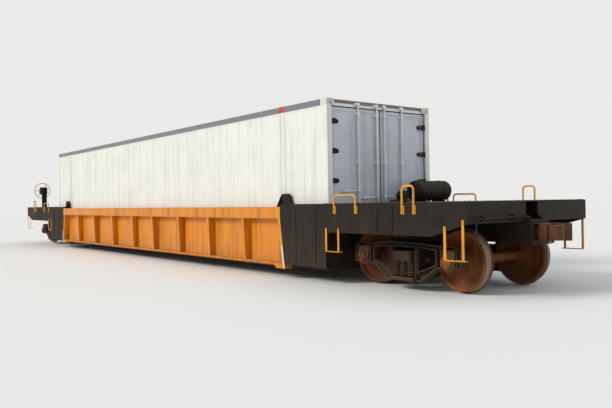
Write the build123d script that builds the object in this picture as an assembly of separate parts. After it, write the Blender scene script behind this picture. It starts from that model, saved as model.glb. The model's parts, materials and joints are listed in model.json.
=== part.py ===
from build123d import *
import math
import os

os.makedirs("parts", exist_ok=True)

# A single-level well flatcar that carries one 48 ft container between two four-wheel trucks.
# Millimetres. X runs along the car towards the container's doors, Y across it, Z up.
# The origin is under the middle of the car, at the lowest point of the wheel flanges.

# Wheels and track
BACK_TO_BACK = 1353
WHEEL_WIDTH = 145
TREAD_R = 457
TREAD_FALL = 5
FLANGE_H = 28
FLANGE_W = 34
RIM_DEPTH = 62
DISH_DEPTH = 84
HUB_R = 135
WHEEL_SIDES = 32
AXLE_R = 78
AXLE_SIDES = 12
JOURNAL_END = 1126
END_CAP_R = 96
END_CAP_T = 42
RAIL_Z = FLANGE_H
AXLE_Z = RAIL_Z + TREAD_R
WHEEL_IN = BACK_TO_BACK / 2
WHEEL_OUT = WHEEL_IN + WHEEL_WIDTH

# Container
BOX_L = 14630
BOX_W = 2591
BOX_H = 2896
BOX_Z = RAIL_Z + 258
PANEL_INSET = 7
PANEL_T = 42
RAIL_W = 52
BOTTOM_RAIL_H = 150
TOP_RAIL_H = 130
ROOF_T = 34
ROOF_DROP = 8
FLOOR_T = 28
FLOOR_BEAM_H = 122
UNDER_GAP = 14
OVER_GAP = 6
FLOOR_BEAM_W = 45
FLOOR_BEAM_PITCH = 610
END_POST_Y = 104
HINGE_COUNT = 5
HINGE_H = 70
HINGE_REACH = 118
HINGE_T = 28
FRONT_T = 60
DOOR_T = 50
DOOR_INSET = 46
DOOR_GAP = 6
DOOR_FRAME_W = 70
DOOR_FIELD_DEPTH = 10
HEADER_H = 118
DOOR_SILL_H = 150
LOCK_ROD_R = 17
LOCK_ROD_SIDES = 6
LOCK_ROD_OUT = 6
OUTER_ROD_IN = 636
INNER_ROD_Y = 99
LOCK_GUIDE_Z = [0.07, 0.33, 0.62, 0.93]
KEEPER_H = 64
KEEPER_COVER = 2
LIFT_X = 11985 / 2
LIFT_IN = 166
LIFT_Y = BOX_W / 2 - LIFT_IN
LIFT_POST_W = 178
CASTING_L = 178
CASTING_H = 118
CASTING_W = 162
CASTING_WALL = 28
CASTING_SIDE_T = 22
APERTURE_L = 124.5
APERTURE_W = 63.5
EYE_L = 79
EYE_W = 51

# Well between the trucks
WELL_GAP_Y = 26
WELL_GAP_X = 30
SIDE_W = 178.5
WELL_Y = BOX_W / 2 + WELL_GAP_Y
WALL_X = BOX_L / 2 + WELL_GAP_X
CAR_HALF_W = WELL_Y + SIDE_W
WEB_T = 10
WEB_BOTTOM = RAIL_Z + 172
END_BAY_L = 1185
END_SLANT = 130
MID_TOP_X = WALL_X - END_BAY_L
MID_BOTTOM_X = MID_TOP_X + END_SLANT
SILL_Z = RAIL_Z + 222
SILL_T = 28
SIDE_H = 1060
CHORD_TOP = SILL_Z + SIDE_H
CHORD_H = 214
CHORD_T = 12
FOOT_Z = RAIL_Z + 155
FOOT_L = 340
STAKE_FIRST = 620
STAKE_LAST = 1310
STAKE_COUNT = 4
STAKE_PITCH = (MID_TOP_X - STAKE_LAST - STAKE_FIRST) / (STAKE_COUNT - 1)
STAKE_W = 92
STAKE_DEPTH_TOP = 150
STAKE_DEPTH_BOTTOM = 118
STAKE_T = 10
FLOOR_TUBE_W = 210
FLOOR_TUBE_T = 10
SEAT_PAD_T = 26
SEAT_PAD = 210
CONE_L = 96
CONE_W = 50
CONE_H = 46
CONE_TAPER = 13.5
BRACE_W = 110
BRACE_T = 14
GUIDE_L = 380
GUIDE_TOP_L = 210
GUIDE_H = 240
GUIDE_T = 40
GUIDE_BACK = 10
GUIDE_GAP_Y = 8
GUIDE_WING_T = 20
GUIDE_WING_IN = 60
GUIDE_WING_EDGE = 30

# Trucks
TRUCK_SETBACK = 1505
TRUCK_X = WALL_X + TRUCK_SETBACK
WHEELBASE = 1778
AXLE_DX = WHEELBASE / 2
FRAME_Y = 1003
FRAME_T = 168
FRAME_POCKET = 74
FRAME_RIM = 20
FRAME_TOP_H = 722
FRAME_TOP = RAIL_Z + FRAME_TOP_H
FRAME_SHOULDER_DROP = 30
FRAME_SHOULDER = FRAME_TOP - FRAME_SHOULDER_DROP
FRAME_SEAT = RAIL_Z + 130
FRAME_CROWN = 330
SHOULDER_IN = 690
SHOULDER_OUT = 1010
FRAME_END = 1105
NOSE_DROP = 64
JAW_HALF = 140
JAW_LOW = 96
JAW_ROOF = 36
KNEE_X = 640
KNEE_DROP = 120
SEAT_HALF = 350
SEAT_T = 52
SEAT_LAP = 140
COLUMN_W = 58
TOP_CHORD = 76
TENSION_RISE = 96
TRIANGLE_END = 650
TRIANGLE_DROP = 50
WINDOW_HALF = 236
BEARING_R = 126
BEARING_LEN = 236
BEARING_SIDES = 16
ADAPTER_HALF = 118
ADAPTER_RISE = 60
BOLSTER_HALF = 188
BOLSTER_END = 1132
BOLSTER_END_H = 150
BOLSTER_BELLY = 76
BOLSTER_ARM = 820
BOLSTER_MID = 560
BOLSTER_CROWN = 34
SPRING_R = 66
SPRING_H = 246
SPRING_DX = 150
SPRING_DY = 68
SPRING_SIDES = 8
BOWL_R = 184
BOWL_WALL = 30
BOWL_RIM_H = 24
BOWL_SIDES = 24
CENTRE_PLATE_H = 654
CENTRE_PLATE_Z = RAIL_Z + CENTRE_PLATE_H
CENTRE_PLATE_R = 178
CENTRE_PLATE_T = 57
SIDE_BEARING_Y = 635
SIDE_BEARING_L = 160
SIDE_BEARING_W = 100
SIDE_BEARING_H = 80
WEAR_PLATE_T = 18
WEAR_PLATE_LAP = 20
RUN_GAP = 0.3
SHOE_GAP = 6
SHOE_T = 52
SHOE_H = 300
SHOE_IN = 42
SHOE_OUT = 12
BEAM_H = 70
BEAM_W = 60
BEAM_IN = 20
BEAM_GUIDE_GAP = 8

# Ends of the car over the trucks
DECK_STEP = 48
DECK_TOP = CHORD_TOP + DECK_STEP
DECK_T = 12
DECK_OVERHANG = 1550
DECK_END_X = TRUCK_X + DECK_OVERHANG
SIDE_SILL_H = 480
SIDE_BOTTOM = DECK_TOP - SIDE_SILL_H
SIDE_END_H = 300
SIDE_TAPER_L = 620
APRON_RISE = 18
APRON_BOTTOM = SILL_Z + APRON_RISE
APRON_REACH = 125
APRON_END_X = WALL_X + APRON_REACH
APRON_CORNER = 90
PLATE_SIDE_T = 14
LIP_W = 90
WALL_T = 12
WALL_RIB = 30
WALL_RIB_Y = [330, 1040]
WALL_RIB_RISE = 60
SILL_HALF = 165
SILL_WEB_T = 14
SILL_BOTTOM = CENTRE_PLATE_Z + CENTRE_PLATE_T
SILL_DIP = 60
SILL_DIP_L = 805
BODY_BOLSTER_HALF = 165
BODY_BOLSTER_T = 14
BODY_BOLSTER_KNEE = 130
STRINGER_Y = 760
STRINGER_H = 140
STRINGER_T = 12

# Couplers
COUPLER_H = 876
COUPLER_Z = RAIL_Z + COUPLER_H
COUPLER_PIVOT_IN = 520
COUPLER_PIVOT_X = DECK_END_X - COUPLER_PIVOT_IN
COUPLER_PIN_R = 44
COUPLER_PIN_SIDES = 12
COUPLER_EYE = 96
STRIKER_X = DECK_END_X + 100
STRIKER_T = 34
STRIKER_FLANGE = 60
STRIKER_RISE = 190
STRIKER_DROP = 20
STRIKER_GUSSET = 260
CARRIER_L = 120
POCKET_BACK = 180
POCKET_FRONT = 120
SHANK_W = 128
SHANK_H = 150
SHANK_SETBACK = 290
COUPLER_FACE_X = STRIKER_X + 350
HEAD_H = 250
KNUCKLE_H = 214
SWING_ROOM = 34

# Brake gear and fittings on the ends
DRUM_SIDES = 20
TANK_R = 190
TANK_HALF_L = 480
TANK_DOME = 70
TANK_DOME_R = 104
TANK_X = WALL_X + 323
TANK_Y = CAR_HALF_W - 620
SADDLE_H = 16
SADDLE_W = 60
SADDLE_Y = 250
SADDLE_HALF = 130
SADDLE_RISE = 92
VALVE_X = WALL_X + 295
VALVE_Y = 180
VALVE_L = 150
VALVE_W = 90
VALVE_H = 205
VALVE_PORTION_R = 70
VALVE_PORTION_L = 80
VALVE_PORTION_Z = 114
VALVE_SIDES = 12
CYLINDER_R = 130
CYLINDER_L = 330
CYLINDER_NOSE = 80
CYLINDER_NOSE_R = 46
CYLINDER_X = TRUCK_X - 430
CYLINDER_Y = 560
CYLINDER_FOOT = 104
PUSH_ROD_R = 24
PUSH_ROD_SIDES = 6
PUSH_ROD_L = 200
BRAKE_STAND_X = TRUCK_X + 570
BRAKE_STAND_Y = CAR_HALF_W - 320
BRAKE_STAND_H = 620
BRAKE_POST_T = 30
BRAKE_POST_W = 180
BRAKE_BOX_T = 120
BRAKE_BOX_W = 240
BRAKE_BOX_H = 270
BRAKE_BOX_DROP = 150
BRAKE_WHEEL_R = 275
BRAKE_WHEEL_BAR = 26
BRAKE_WHEEL_SIDES = 24
BRAKE_WHEEL_OUT = 95
BRAKE_HUB_R = 36
BRAKE_HUB_SIDES = 8
SPOKE_COUNT = 3
SPOKE_W = 34
SPOKE_T = 16
HOOP_R = 16
HOOP_SIDES = 6
HOOP_BEND = 40
HOOP_FOOT = 160
WIDE_HOOP_X = WALL_X + 355
WIDE_HOOP_L = 550
WIDE_HOOP_RISE = 150
TALL_HOOP_X = TRUCK_X + 380
TALL_HOOP_L = 260
TALL_HOOP_RISE = 262
STEP_W = 350
OUTER_STEP_IN = 40
OUTER_STEP_X = DECK_END_X - STEP_W - OUTER_STEP_IN
STEP_BAR = 40
STEP_T = 12
STEP_Z = RAIL_Z + 527
STEP_TREAD = 84
STEP_LAP = 70


def box(x0, x1, y0, y1, z0, z1):
    """A block between two corners."""
    return Pos((x0 + x1) / 2, (y0 + y1) / 2, (z0 + z1) / 2) * Box(abs(x1 - x0), abs(y1 - y0), abs(z1 - z0))


def slab_xz(points, y0, y1):
    """A plate cut to an outline seen from the side, from y0 to y1."""
    face = Face(Wire.make_polygon([Vector(x, y0, z) for x, z in points], close=True))
    return Solid.extrude(face, Vector(0, y1 - y0, 0))


def slab_yz(points, x0, x1):
    """A plate cut to an outline seen along the car, from x0 to x1."""
    face = Face(Wire.make_polygon([Vector(x0, y, z) for y, z in points], close=True))
    return Solid.extrude(face, Vector(x1 - x0, 0, 0))


def slab_xy(points, z0, z1):
    """A plate cut to an outline seen from above, from z0 to z1."""
    face = Face(Wire.make_polygon([Vector(x, y, z0) for x, y in points], close=True))
    return Solid.extrude(face, Vector(0, 0, z1 - z0))


def across(x, z, y0, y1, radius):
    """A round boss with its axis across the car."""
    return Pos(x, (y0 + y1) / 2, z) * Rot(90, 0, 0) * Cylinder(radius, abs(y1 - y0))


def bar(sketch, z0, z1):
    """An upright bar of a sketched section."""
    return Pos(0, 0, z0) * extrude(sketch, z1 - z0, dir=(0, 0, 1))


def panel_xz(sketch, y0, y1):
    """A plate cut to a sketch seen from the side, from y0 to y1."""
    return Pos(0, y0, 0) * extrude(Plane.XZ * sketch, y1 - y0, dir=(0, 1, 0))


def narrowed(r0, r1, length, sides):
    """A many-sided cone that stands on the origin, r0 at its foot and r1 at its top."""
    taper = math.degrees(math.atan2((r0 - r1) * math.cos(math.pi / sides), length))
    return extrude(RegularPolygon(r0, sides), length, taper=taper)


def fused(pieces):
    """One solid from pieces that touch or overlap."""
    pieces = list(pieces)
    return pieces[0].fuse(*pieces[1:]).clean() if len(pieces) > 1 else pieces[0]


def other_side(shape):
    """The same shape on the other side of the car."""
    return mirror(shape, about=Plane.XZ)


def both_sides(shape):
    return [shape, other_side(shape)]


def both_ends(shape):
    return [shape, mirror(shape, about=Plane.YZ)]


def turned(shape):
    """The same shape at the other end, as it comes when the car is turned about."""
    return Rot(0, 0, 180) * shape


nodes = {}


def put(name, pieces):
    """Keeps one node, made of one or more separate solids."""
    pieces = pieces if isinstance(pieces, list) else [pieces]
    solids = [solid for piece in pieces for solid in piece.solids()]
    nodes[name] = solids[0] if len(solids) == 1 else Compound(children=solids)


# Sides of the well: chord, web with stakes, bottom flange and end feet
CHORD_BOTTOM = CHORD_TOP - CHORD_H


def side_chord():
    outer = box(-MID_TOP_X, MID_TOP_X, WELL_Y, CAR_HALF_W, CHORD_BOTTOM, CHORD_TOP)
    inner = box(
        -MID_TOP_X - 1, MID_TOP_X + 1, WELL_Y + CHORD_T, CAR_HALF_W - CHORD_T,
        CHORD_BOTTOM + CHORD_T, CHORD_TOP - CHORD_T,
    )
    return outer - inner


def stake(x):
    """A pressed stake, deeper at the chord than at the flange."""
    root = WELL_Y + WEB_T
    outline = [
        (root, SILL_Z + SILL_T),
        (root + STAKE_DEPTH_BOTTOM, SILL_Z + SILL_T),
        (root + STAKE_DEPTH_TOP, CHORD_BOTTOM),
        (root, CHORD_BOTTOM),
    ]
    inner = [
        (root - 1, SILL_Z),
        (root + STAKE_DEPTH_BOTTOM - STAKE_T, SILL_Z),
        (root + STAKE_DEPTH_TOP - STAKE_T, CHORD_BOTTOM + 1),
        (root - 1, CHORD_BOTTOM + 1),
    ]
    hat = slab_yz(outline, x - STAKE_W / 2, x + STAKE_W / 2)
    return hat - slab_yz(inner, x - STAKE_W / 2 + STAKE_T, x + STAKE_W / 2 - STAKE_T)


def slant_x(z):
    """Where the slanted joint between the side and the apron lies at a height."""
    return MID_BOTTOM_X - END_SLANT * (z - FOOT_Z) / (CHORD_BOTTOM - FOOT_Z)


def side_wall():
    edge_x = slant_x(WEB_BOTTOM)
    web = slab_xz(
        [
            (-edge_x, WEB_BOTTOM), (edge_x, WEB_BOTTOM),
            (MID_TOP_X, CHORD_BOTTOM), (-MID_TOP_X, CHORD_BOTTOM),
        ],
        WELL_Y, WELL_Y + WEB_T,
    )
    sill_x = slant_x(SILL_Z)
    reach = sill_x - STAKE_T
    flange = box(-reach, reach, WELL_Y + WEB_T, CAR_HALF_W, SILL_Z, SILL_Z + SILL_T)
    end_stake = slab_xz(
        [
            (MID_BOTTOM_X - STAKE_W, FOOT_Z),
            (MID_BOTTOM_X, FOOT_Z),
            (MID_TOP_X, CHORD_BOTTOM),
            (MID_TOP_X - STAKE_W, CHORD_BOTTOM),
        ],
        WELL_Y + WEB_T, CAR_HALF_W - STAKE_T,
    )
    foot = slab_xz(
        [
            (MID_BOTTOM_X - FOOT_L, SILL_Z),
            (MID_BOTTOM_X - FOOT_L + (SILL_Z - FOOT_Z), FOOT_Z),
            (MID_BOTTOM_X, FOOT_Z),
            (sill_x, SILL_Z),
        ],
        WELL_Y, CAR_HALF_W,
    )
    stakes = [stake(sign * (STAKE_FIRST + i * STAKE_PITCH)) for i in range(STAKE_COUNT) for sign in (-1, 1)]
    return fused([web, flange] + stakes + both_ends(end_stake) + both_ends(foot))


put("side_chord_left", side_chord())
put("side_chord_right", other_side(side_chord()))
put("side_wall_left", side_wall())
put("side_wall_right", other_side(side_wall()))

# Floor of the well: bearers, diagonal braces and the four container seats
BEARER_TOP = BOX_Z - SEAT_PAD_T
BEARER_X = [i * STAKE_PITCH for i in range(STAKE_COUNT)]
END_BEARER_X = [BOX_L / 2 - FLOOR_TUBE_W / 2, (BOX_L / 2 + LIFT_X) / 2]


def bearer(x, z0):
    """A rectangular tube across the well."""
    t = FLOOR_TUBE_T
    half = FLOOR_TUBE_W / 2
    outer = box(x - half, x + half, -WELL_Y, WELL_Y, z0, BEARER_TOP)
    return outer - box(x - half + t, x + half - t, -WELL_Y - 1, WELL_Y + 1, z0 + t, BEARER_TOP - t)


def seat():
    """A pad under a lifting casting, with the cone that enters its bottom hole."""
    pad = box(
        LIFT_X - SEAT_PAD / 2, LIFT_X + SEAT_PAD / 2, LIFT_Y - SEAT_PAD / 2, LIFT_Y + SEAT_PAD / 2,
        BEARER_TOP, BOX_Z,
    )
    cone = extrude(Rectangle(CONE_L, CONE_W), CONE_H, taper=CONE_TAPER)
    return fused([pad, Pos(LIFT_X, LIFT_Y, BOX_Z) * cone])


bearers = [bearer(sign * x, WEB_BOTTOM) for x in BEARER_X for sign in (-1, 1) if x or sign > 0]
bearers += [bearer(sign * x, WEB_BOTTOM) for x in END_BEARER_X for sign in (-1, 1)]
bearers += both_ends(fused([bearer(LIFT_X, FOOT_Z)] + both_sides(seat())))
put("floor_bearers", bearers)


def brace(x0, x1, lean):
    """A flat strap that runs slantwise from one bearer to the next."""
    start = x0 + FLOOR_TUBE_W / 2
    end = x1 - FLOOR_TUBE_W / 2
    outline = [
        (start, -lean * WELL_Y), (start, lean * (BRACE_W - WELL_Y)),
        (end, lean * WELL_Y), (end, lean * (WELL_Y - BRACE_W)),
    ]
    return slab_xy(outline, WEB_BOTTOM + BRACE_T, WEB_BOTTOM + 2 * BRACE_T)


braces = []
stops = BEARER_X + [LIFT_X]
for i in range(STAKE_COUNT):
    braces += both_ends(brace(stops[i], stops[i + 1], -1 if i % 2 else 1))
put("floor_braces", braces)

# Container guides that stand on the chords at both ends of the well
GUIDE_X = MID_TOP_X - GUIDE_BACK
GUIDE_Y = WELL_Y + GUIDE_GAP_Y


def guide():
    """A tapered rib beside the container, lapping from the chord onto the deck, with a wing behind it."""
    foot = GUIDE_L / 2
    head = GUIDE_TOP_L / 2
    rib = slab_xz(
        [
            (GUIDE_X - foot, CHORD_TOP), (GUIDE_X, CHORD_TOP), (GUIDE_X, DECK_TOP),
            (GUIDE_X + foot, DECK_TOP),
            (GUIDE_X + head, CHORD_TOP + GUIDE_H), (GUIDE_X - head, CHORD_TOP + GUIDE_H),
        ],
        GUIDE_Y, GUIDE_Y + GUIDE_T,
    )
    wing_x = GUIDE_X - foot + GUIDE_WING_IN
    wing = slab_yz(
        [
            (GUIDE_Y + GUIDE_T, CHORD_TOP), (CAR_HALF_W - GUIDE_WING_EDGE, CHORD_TOP),
            (GUIDE_Y + GUIDE_T, CHORD_TOP + GUIDE_H - GUIDE_WING_EDGE),
        ],
        wing_x, wing_x + GUIDE_WING_T,
    )
    return fused([rib, wing])


put("container_guides", [end for side in both_sides(guide()) for end in both_ends(side)])

# Ends of the car: end wall, sides, deck, draft sill and body bolster
DECK_UNDER = DECK_TOP - DECK_T
DECK_IN = CAR_HALF_W - PLATE_SIDE_T
WALL_BACK = WALL_X + WALL_T


def end_wall():
    """The plate that closes the well, with upright ribs on its back."""
    plate = box(WALL_X, WALL_BACK, -WELL_Y, WELL_Y, WEB_BOTTOM, DECK_UNDER)
    half = WALL_T / 2
    ribs = [
        box(WALL_BACK, WALL_BACK + WALL_RIB, y - half, y + half, WEB_BOTTOM + WALL_RIB_RISE, DECK_UNDER)
        for reach in WALL_RIB_Y for y in (-reach, reach)
    ]
    return fused([plate] + ribs)


def end_side():
    """The deep apron beside the well's end, and the side sill that runs on over the truck."""
    low_x = slant_x(APRON_BOTTOM)
    outline = [
        (low_x, APRON_BOTTOM),
        (APRON_END_X, APRON_BOTTOM),
        (APRON_END_X, SIDE_BOTTOM - APRON_CORNER),
        (APRON_END_X + APRON_CORNER, SIDE_BOTTOM),
        (DECK_END_X - SIDE_TAPER_L, SIDE_BOTTOM),
        (DECK_END_X, DECK_TOP - SIDE_END_H),
        (DECK_END_X, DECK_TOP),
        (MID_TOP_X, DECK_TOP),
        (MID_TOP_X, CHORD_BOTTOM),
    ]
    outer = slab_xz(outline, DECK_IN, CAR_HALF_W)
    inner = slab_xz(
        [
            (slant_x(WEB_BOTTOM), WEB_BOTTOM), (WALL_BACK, WEB_BOTTOM), (WALL_BACK, DECK_UNDER),
            (MID_TOP_X, DECK_UNDER), (MID_TOP_X, CHORD_BOTTOM),
        ],
        WELL_Y, WELL_Y + WEB_T,
    )
    cap = box(MID_TOP_X, WALL_BACK, WELL_Y, DECK_IN, DECK_UNDER, DECK_TOP)
    floor = box(low_x, APRON_END_X, WELL_Y, DECK_IN, APRON_BOTTOM, APRON_BOTTOM + WALL_T)
    back = box(WALL_X, WALL_BACK, WELL_Y + WEB_T, DECK_IN, APRON_BOTTOM + WALL_T, DECK_UNDER)
    face = slab_xz(
        [
            (low_x, APRON_BOTTOM), (low_x + WALL_T, APRON_BOTTOM),
            (MID_TOP_X + WALL_T, CHORD_BOTTOM), (MID_TOP_X, CHORD_BOTTOM),
        ],
        WELL_Y, DECK_IN,
    )
    lip = box(
        APRON_END_X + APRON_CORNER, DECK_END_X - SIDE_TAPER_L, CAR_HALF_W - LIP_W, DECK_IN,
        SIDE_BOTTOM, SIDE_BOTTOM + PLATE_SIDE_T,
    )
    return fused([outer, inner, cap, floor, back, face, lip])


def end_deck():
    """The deck plate over the truck, its stringers and the beams across its end."""
    pieces = [box(WALL_BACK, DECK_END_X, -DECK_IN, DECK_IN, DECK_UNDER, DECK_TOP)]
    spans = [
        (WALL_BACK + WALL_RIB, TRUCK_X - BODY_BOLSTER_HALF),
        (TRUCK_X + BODY_BOLSTER_HALF, DECK_END_X - STRINGER_T),
    ]
    y0 = STRINGER_Y - STRINGER_T / 2
    for x0, x1 in spans:
        pieces += both_sides(box(x0, x1, y0, y0 + STRINGER_T, DECK_UNDER - STRINGER_H, DECK_UNDER))
    pieces += both_sides(
        box(DECK_END_X - STRINGER_T, DECK_END_X, SILL_HALF, DECK_IN, DECK_TOP - SIDE_END_H, DECK_UNDER)
    )
    return fused(pieces)


def draft_sill():
    """The centre sill: two webs, the coupler's pocket with its pin, the striker and the centre plate."""
    inside = SILL_HALF - SILL_WEB_T
    straight_x = WALL_BACK + SILL_DIP_L - WALL_T
    pocket_x = COUPLER_PIVOT_X - POCKET_BACK
    shank_low = COUPLER_Z - SHANK_H / 2 - RUN_GAP
    pocket_top = COUPLER_Z + SHANK_H / 2 + SWING_ROOM
    profile = [
        (WALL_BACK, SILL_BOTTOM - SILL_DIP),
        (straight_x, SILL_BOTTOM),
        (STRIKER_X, SILL_BOTTOM),
        (STRIKER_X, COUPLER_Z + STRIKER_RISE),
        (DECK_END_X, COUPLER_Z + STRIKER_GUSSET),
        (DECK_END_X, DECK_UNDER),
        (WALL_BACK, DECK_UNDER),
    ]
    floor_x = COUPLER_PIVOT_X + POCKET_FRONT
    floor = box(straight_x, floor_x, -inside, inside, SILL_BOTTOM, SILL_BOTTOM + SILL_WEB_T)
    carrier = box(STRIKER_X - CARRIER_L, STRIKER_X, -inside, inside, SILL_BOTTOM, shank_low)
    roof = box(pocket_x, STRIKER_X, -inside, inside, pocket_top, pocket_top + SILL_WEB_T)
    pin = Pos(COUPLER_PIVOT_X, 0) * RegularPolygon(COUPLER_PIN_R - RUN_GAP, COUPLER_PIN_SIDES)
    flange = SILL_HALF + STRIKER_FLANGE
    frame = box(
        STRIKER_X, STRIKER_X + STRIKER_T, -flange, flange,
        SILL_BOTTOM - STRIKER_DROP, COUPLER_Z + STRIKER_RISE,
    )
    mouth = box(STRIKER_X - 1, STRIKER_X + STRIKER_T + 1, -inside, inside, shank_low, pocket_top)
    plate = Pos(TRUCK_X, 0) * RegularPolygon(CENTRE_PLATE_R, BOWL_SIDES)
    upright = [bar(pin, SILL_BOTTOM, pocket_top), bar(plate, CENTRE_PLATE_Z + RUN_GAP, SILL_BOTTOM)]
    webs = both_sides(slab_xz(profile, inside, SILL_HALF))
    return fused(webs + [floor, carrier, roof, frame - mouth] + upright)


def body_bolster():
    """One arm of the cross beam over the truck, with the wear plate above its side bearing."""
    knee = SIDE_BEARING_Y + BODY_BOLSTER_KNEE
    lip_y = CAR_HALF_W - LIP_W
    lip_z = SIDE_BOTTOM + PLATE_SIDE_T
    t = BODY_BOLSTER_T
    low = TRUCK_X - BODY_BOLSTER_HALF
    high = TRUCK_X + BODY_BOLSTER_HALF
    under_side = [(SILL_HALF, SILL_BOTTOM), (knee, SILL_BOTTOM), (lip_y, lip_z), (DECK_IN, lip_z)]
    web = under_side + [(DECK_IN, DECK_UNDER), (SILL_HALF, DECK_UNDER)]
    cover = under_side + [(y, z + t) for y, z in reversed(under_side)]
    half_l = SIDE_BEARING_L / 2 + WEAR_PLATE_LAP
    half_w = SIDE_BEARING_W / 2 + WEAR_PLATE_LAP
    wear = box(
        TRUCK_X - half_l, TRUCK_X + half_l, SIDE_BEARING_Y - half_w, SIDE_BEARING_Y + half_w,
        SILL_BOTTOM - WEAR_PLATE_T, SILL_BOTTOM,
    )
    webs = [slab_yz(web, low, low + t), slab_yz(web, high - t, high)]
    return fused(webs + [slab_yz(cover, low, high), wear])


ENDS = [("a", lambda shape: shape), ("b", turned)]
for tag, place in ENDS:
    near, far = ("right", "left") if tag == "a" else ("left", "right")
    put(f"end_wall_{tag}", place(end_wall()))
    put(f"end_side_{far}_{tag}", place(end_side()))
    put(f"end_side_{near}_{tag}", place(other_side(end_side())))
    put(f"end_deck_{tag}", place(end_deck()))
    put(f"draft_sill_{tag}", place(draft_sill()))
    put(f"body_bolster_{tag}", [place(arm) for arm in both_sides(body_bolster())])


def hoop(x, length, rise):
    """A grab hoop of hexagon bar standing above the deck's edge, its feet on the side sill."""
    y = CAR_HALF_W + HOOP_R
    low = DECK_TOP - HOOP_FOOT
    high = DECK_TOP + rise - HOOP_R
    left = x + HOOP_R
    right = x + length - HOOP_R
    path = Polyline(
        (left, y, low), (left, y, high - HOOP_BEND), (left + HOOP_BEND, y, high),
        (right - HOOP_BEND, y, high), (right, y, high - HOOP_BEND), (right, y, low),
    )
    section = Pos(left, y, low) * RegularPolygon(HOOP_R, HOOP_SIDES, major_radius=False)
    return sweep(section, path=path, transition=Transition.RIGHT)


def sill_edge(x):
    """The height of the side sill's lower edge, which rises towards the car's end."""
    taper = max(0, x - (DECK_END_X - SIDE_TAPER_L)) / SIDE_TAPER_L
    return SIDE_BOTTOM + taper * (SIDE_SILL_H - SIDE_END_H)


def step(x):
    """A stirrup step hung on the side sill."""
    y = CAR_HALF_W
    legs = [
        box(x0, x0 + STEP_BAR, y, y + STEP_T, STEP_Z, sill_edge(x0 + STEP_BAR) + STEP_LAP)
        for x0 in (x, x + STEP_W - STEP_BAR)
    ]
    tread = box(x, x + STEP_W, y + STEP_T - STEP_TREAD, y + STEP_T, STEP_Z, STEP_Z + STEP_T)
    return fused(legs + [tread])


def reservoir():
    """The air reservoir, lying across the deck behind the end wall on two saddles."""
    shoulder = TANK_HALF_L - TANK_DOME
    shell = bar(RegularPolygon(TANK_R, DRUM_SIDES), -shoulder, shoulder)
    dome = Pos(0, 0, shoulder) * narrowed(TANK_R, TANK_DOME_R, TANK_DOME, DRUM_SIDES)
    tank = Rot(-90, 0, 0) * fused([shell, dome, Rot(180, 0, 0) * dome])
    tank = Pos(TANK_X, TANK_Y, DECK_TOP + SADDLE_H + TANK_R) * tank
    saddles = [
        box(
            TANK_X - SADDLE_HALF, TANK_X + SADDLE_HALF, y - SADDLE_W / 2, y + SADDLE_W / 2,
            DECK_TOP, DECK_TOP + SADDLE_RISE,
        )
        for y in (TANK_Y - SADDLE_Y, TANK_Y + SADDLE_Y)
    ]
    return fused([tank] + saddles)


def control_valve():
    """The brake control valve: a pipe bracket with a portion bolted to each side."""
    half_l = VALVE_L / 2
    half_w = VALVE_W / 2
    bracket = box(
        VALVE_X - half_l, VALVE_X + half_l, VALVE_Y - half_w, VALVE_Y + half_w,
        DECK_TOP, DECK_TOP + VALVE_H,
    )
    section = Pos(VALVE_X, DECK_TOP + VALVE_PORTION_Z) * RegularPolygon(VALVE_PORTION_R, VALVE_SIDES)
    reach = half_w + VALVE_PORTION_L
    return fused([bracket, panel_xz(section, VALVE_Y - reach, VALVE_Y + reach)])


def brake_cylinder():
    """The brake cylinder on its foot, its push rod pointing to the truck."""
    z = DECK_TOP + CYLINDER_R + SADDLE_H
    half = CYLINDER_L / 2
    tip = half + CYLINDER_NOSE
    shell = bar(RegularPolygon(CYLINDER_R, DRUM_SIDES), -half, half)
    nose = Pos(0, 0, half) * narrowed(CYLINDER_R, CYLINDER_NOSE_R, CYLINDER_NOSE, DRUM_SIDES)
    push = bar(RegularPolygon(PUSH_ROD_R, PUSH_ROD_SIDES), tip, tip + PUSH_ROD_L)
    lying = Pos(CYLINDER_X, CYLINDER_Y, z) * Rot(0, 90, 0) * fused([shell, nose, push])
    foot = box(
        CYLINDER_X - CYLINDER_FOOT, CYLINDER_X + CYLINDER_FOOT, CYLINDER_Y - CYLINDER_FOOT,
        CYLINDER_Y + CYLINDER_FOOT, DECK_TOP, DECK_TOP + SADDLE_H + CYLINDER_R / 2,
    )
    return fused([lying, foot])


BRAKE_BOX_X = BRAKE_STAND_X + BRAKE_BOX_T / 2
BRAKE_HUB_Z = DECK_TOP + BRAKE_STAND_H


def brake_stand():
    """The hand brake's gear housing on a post."""
    back = BRAKE_STAND_X - BRAKE_BOX_T / 2
    half_post = BRAKE_POST_W / 2
    half_box = BRAKE_BOX_W / 2
    low = BRAKE_HUB_Z - BRAKE_BOX_DROP
    high = low + BRAKE_BOX_H
    post = box(
        back - BRAKE_POST_T, back, BRAKE_STAND_Y - half_post, BRAKE_STAND_Y + half_post,
        DECK_TOP, high - BRAKE_POST_T,
    )
    housing = box(back, BRAKE_BOX_X, BRAKE_STAND_Y - half_box, BRAKE_STAND_Y + half_box, low, high)
    return fused([post, housing])


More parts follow.
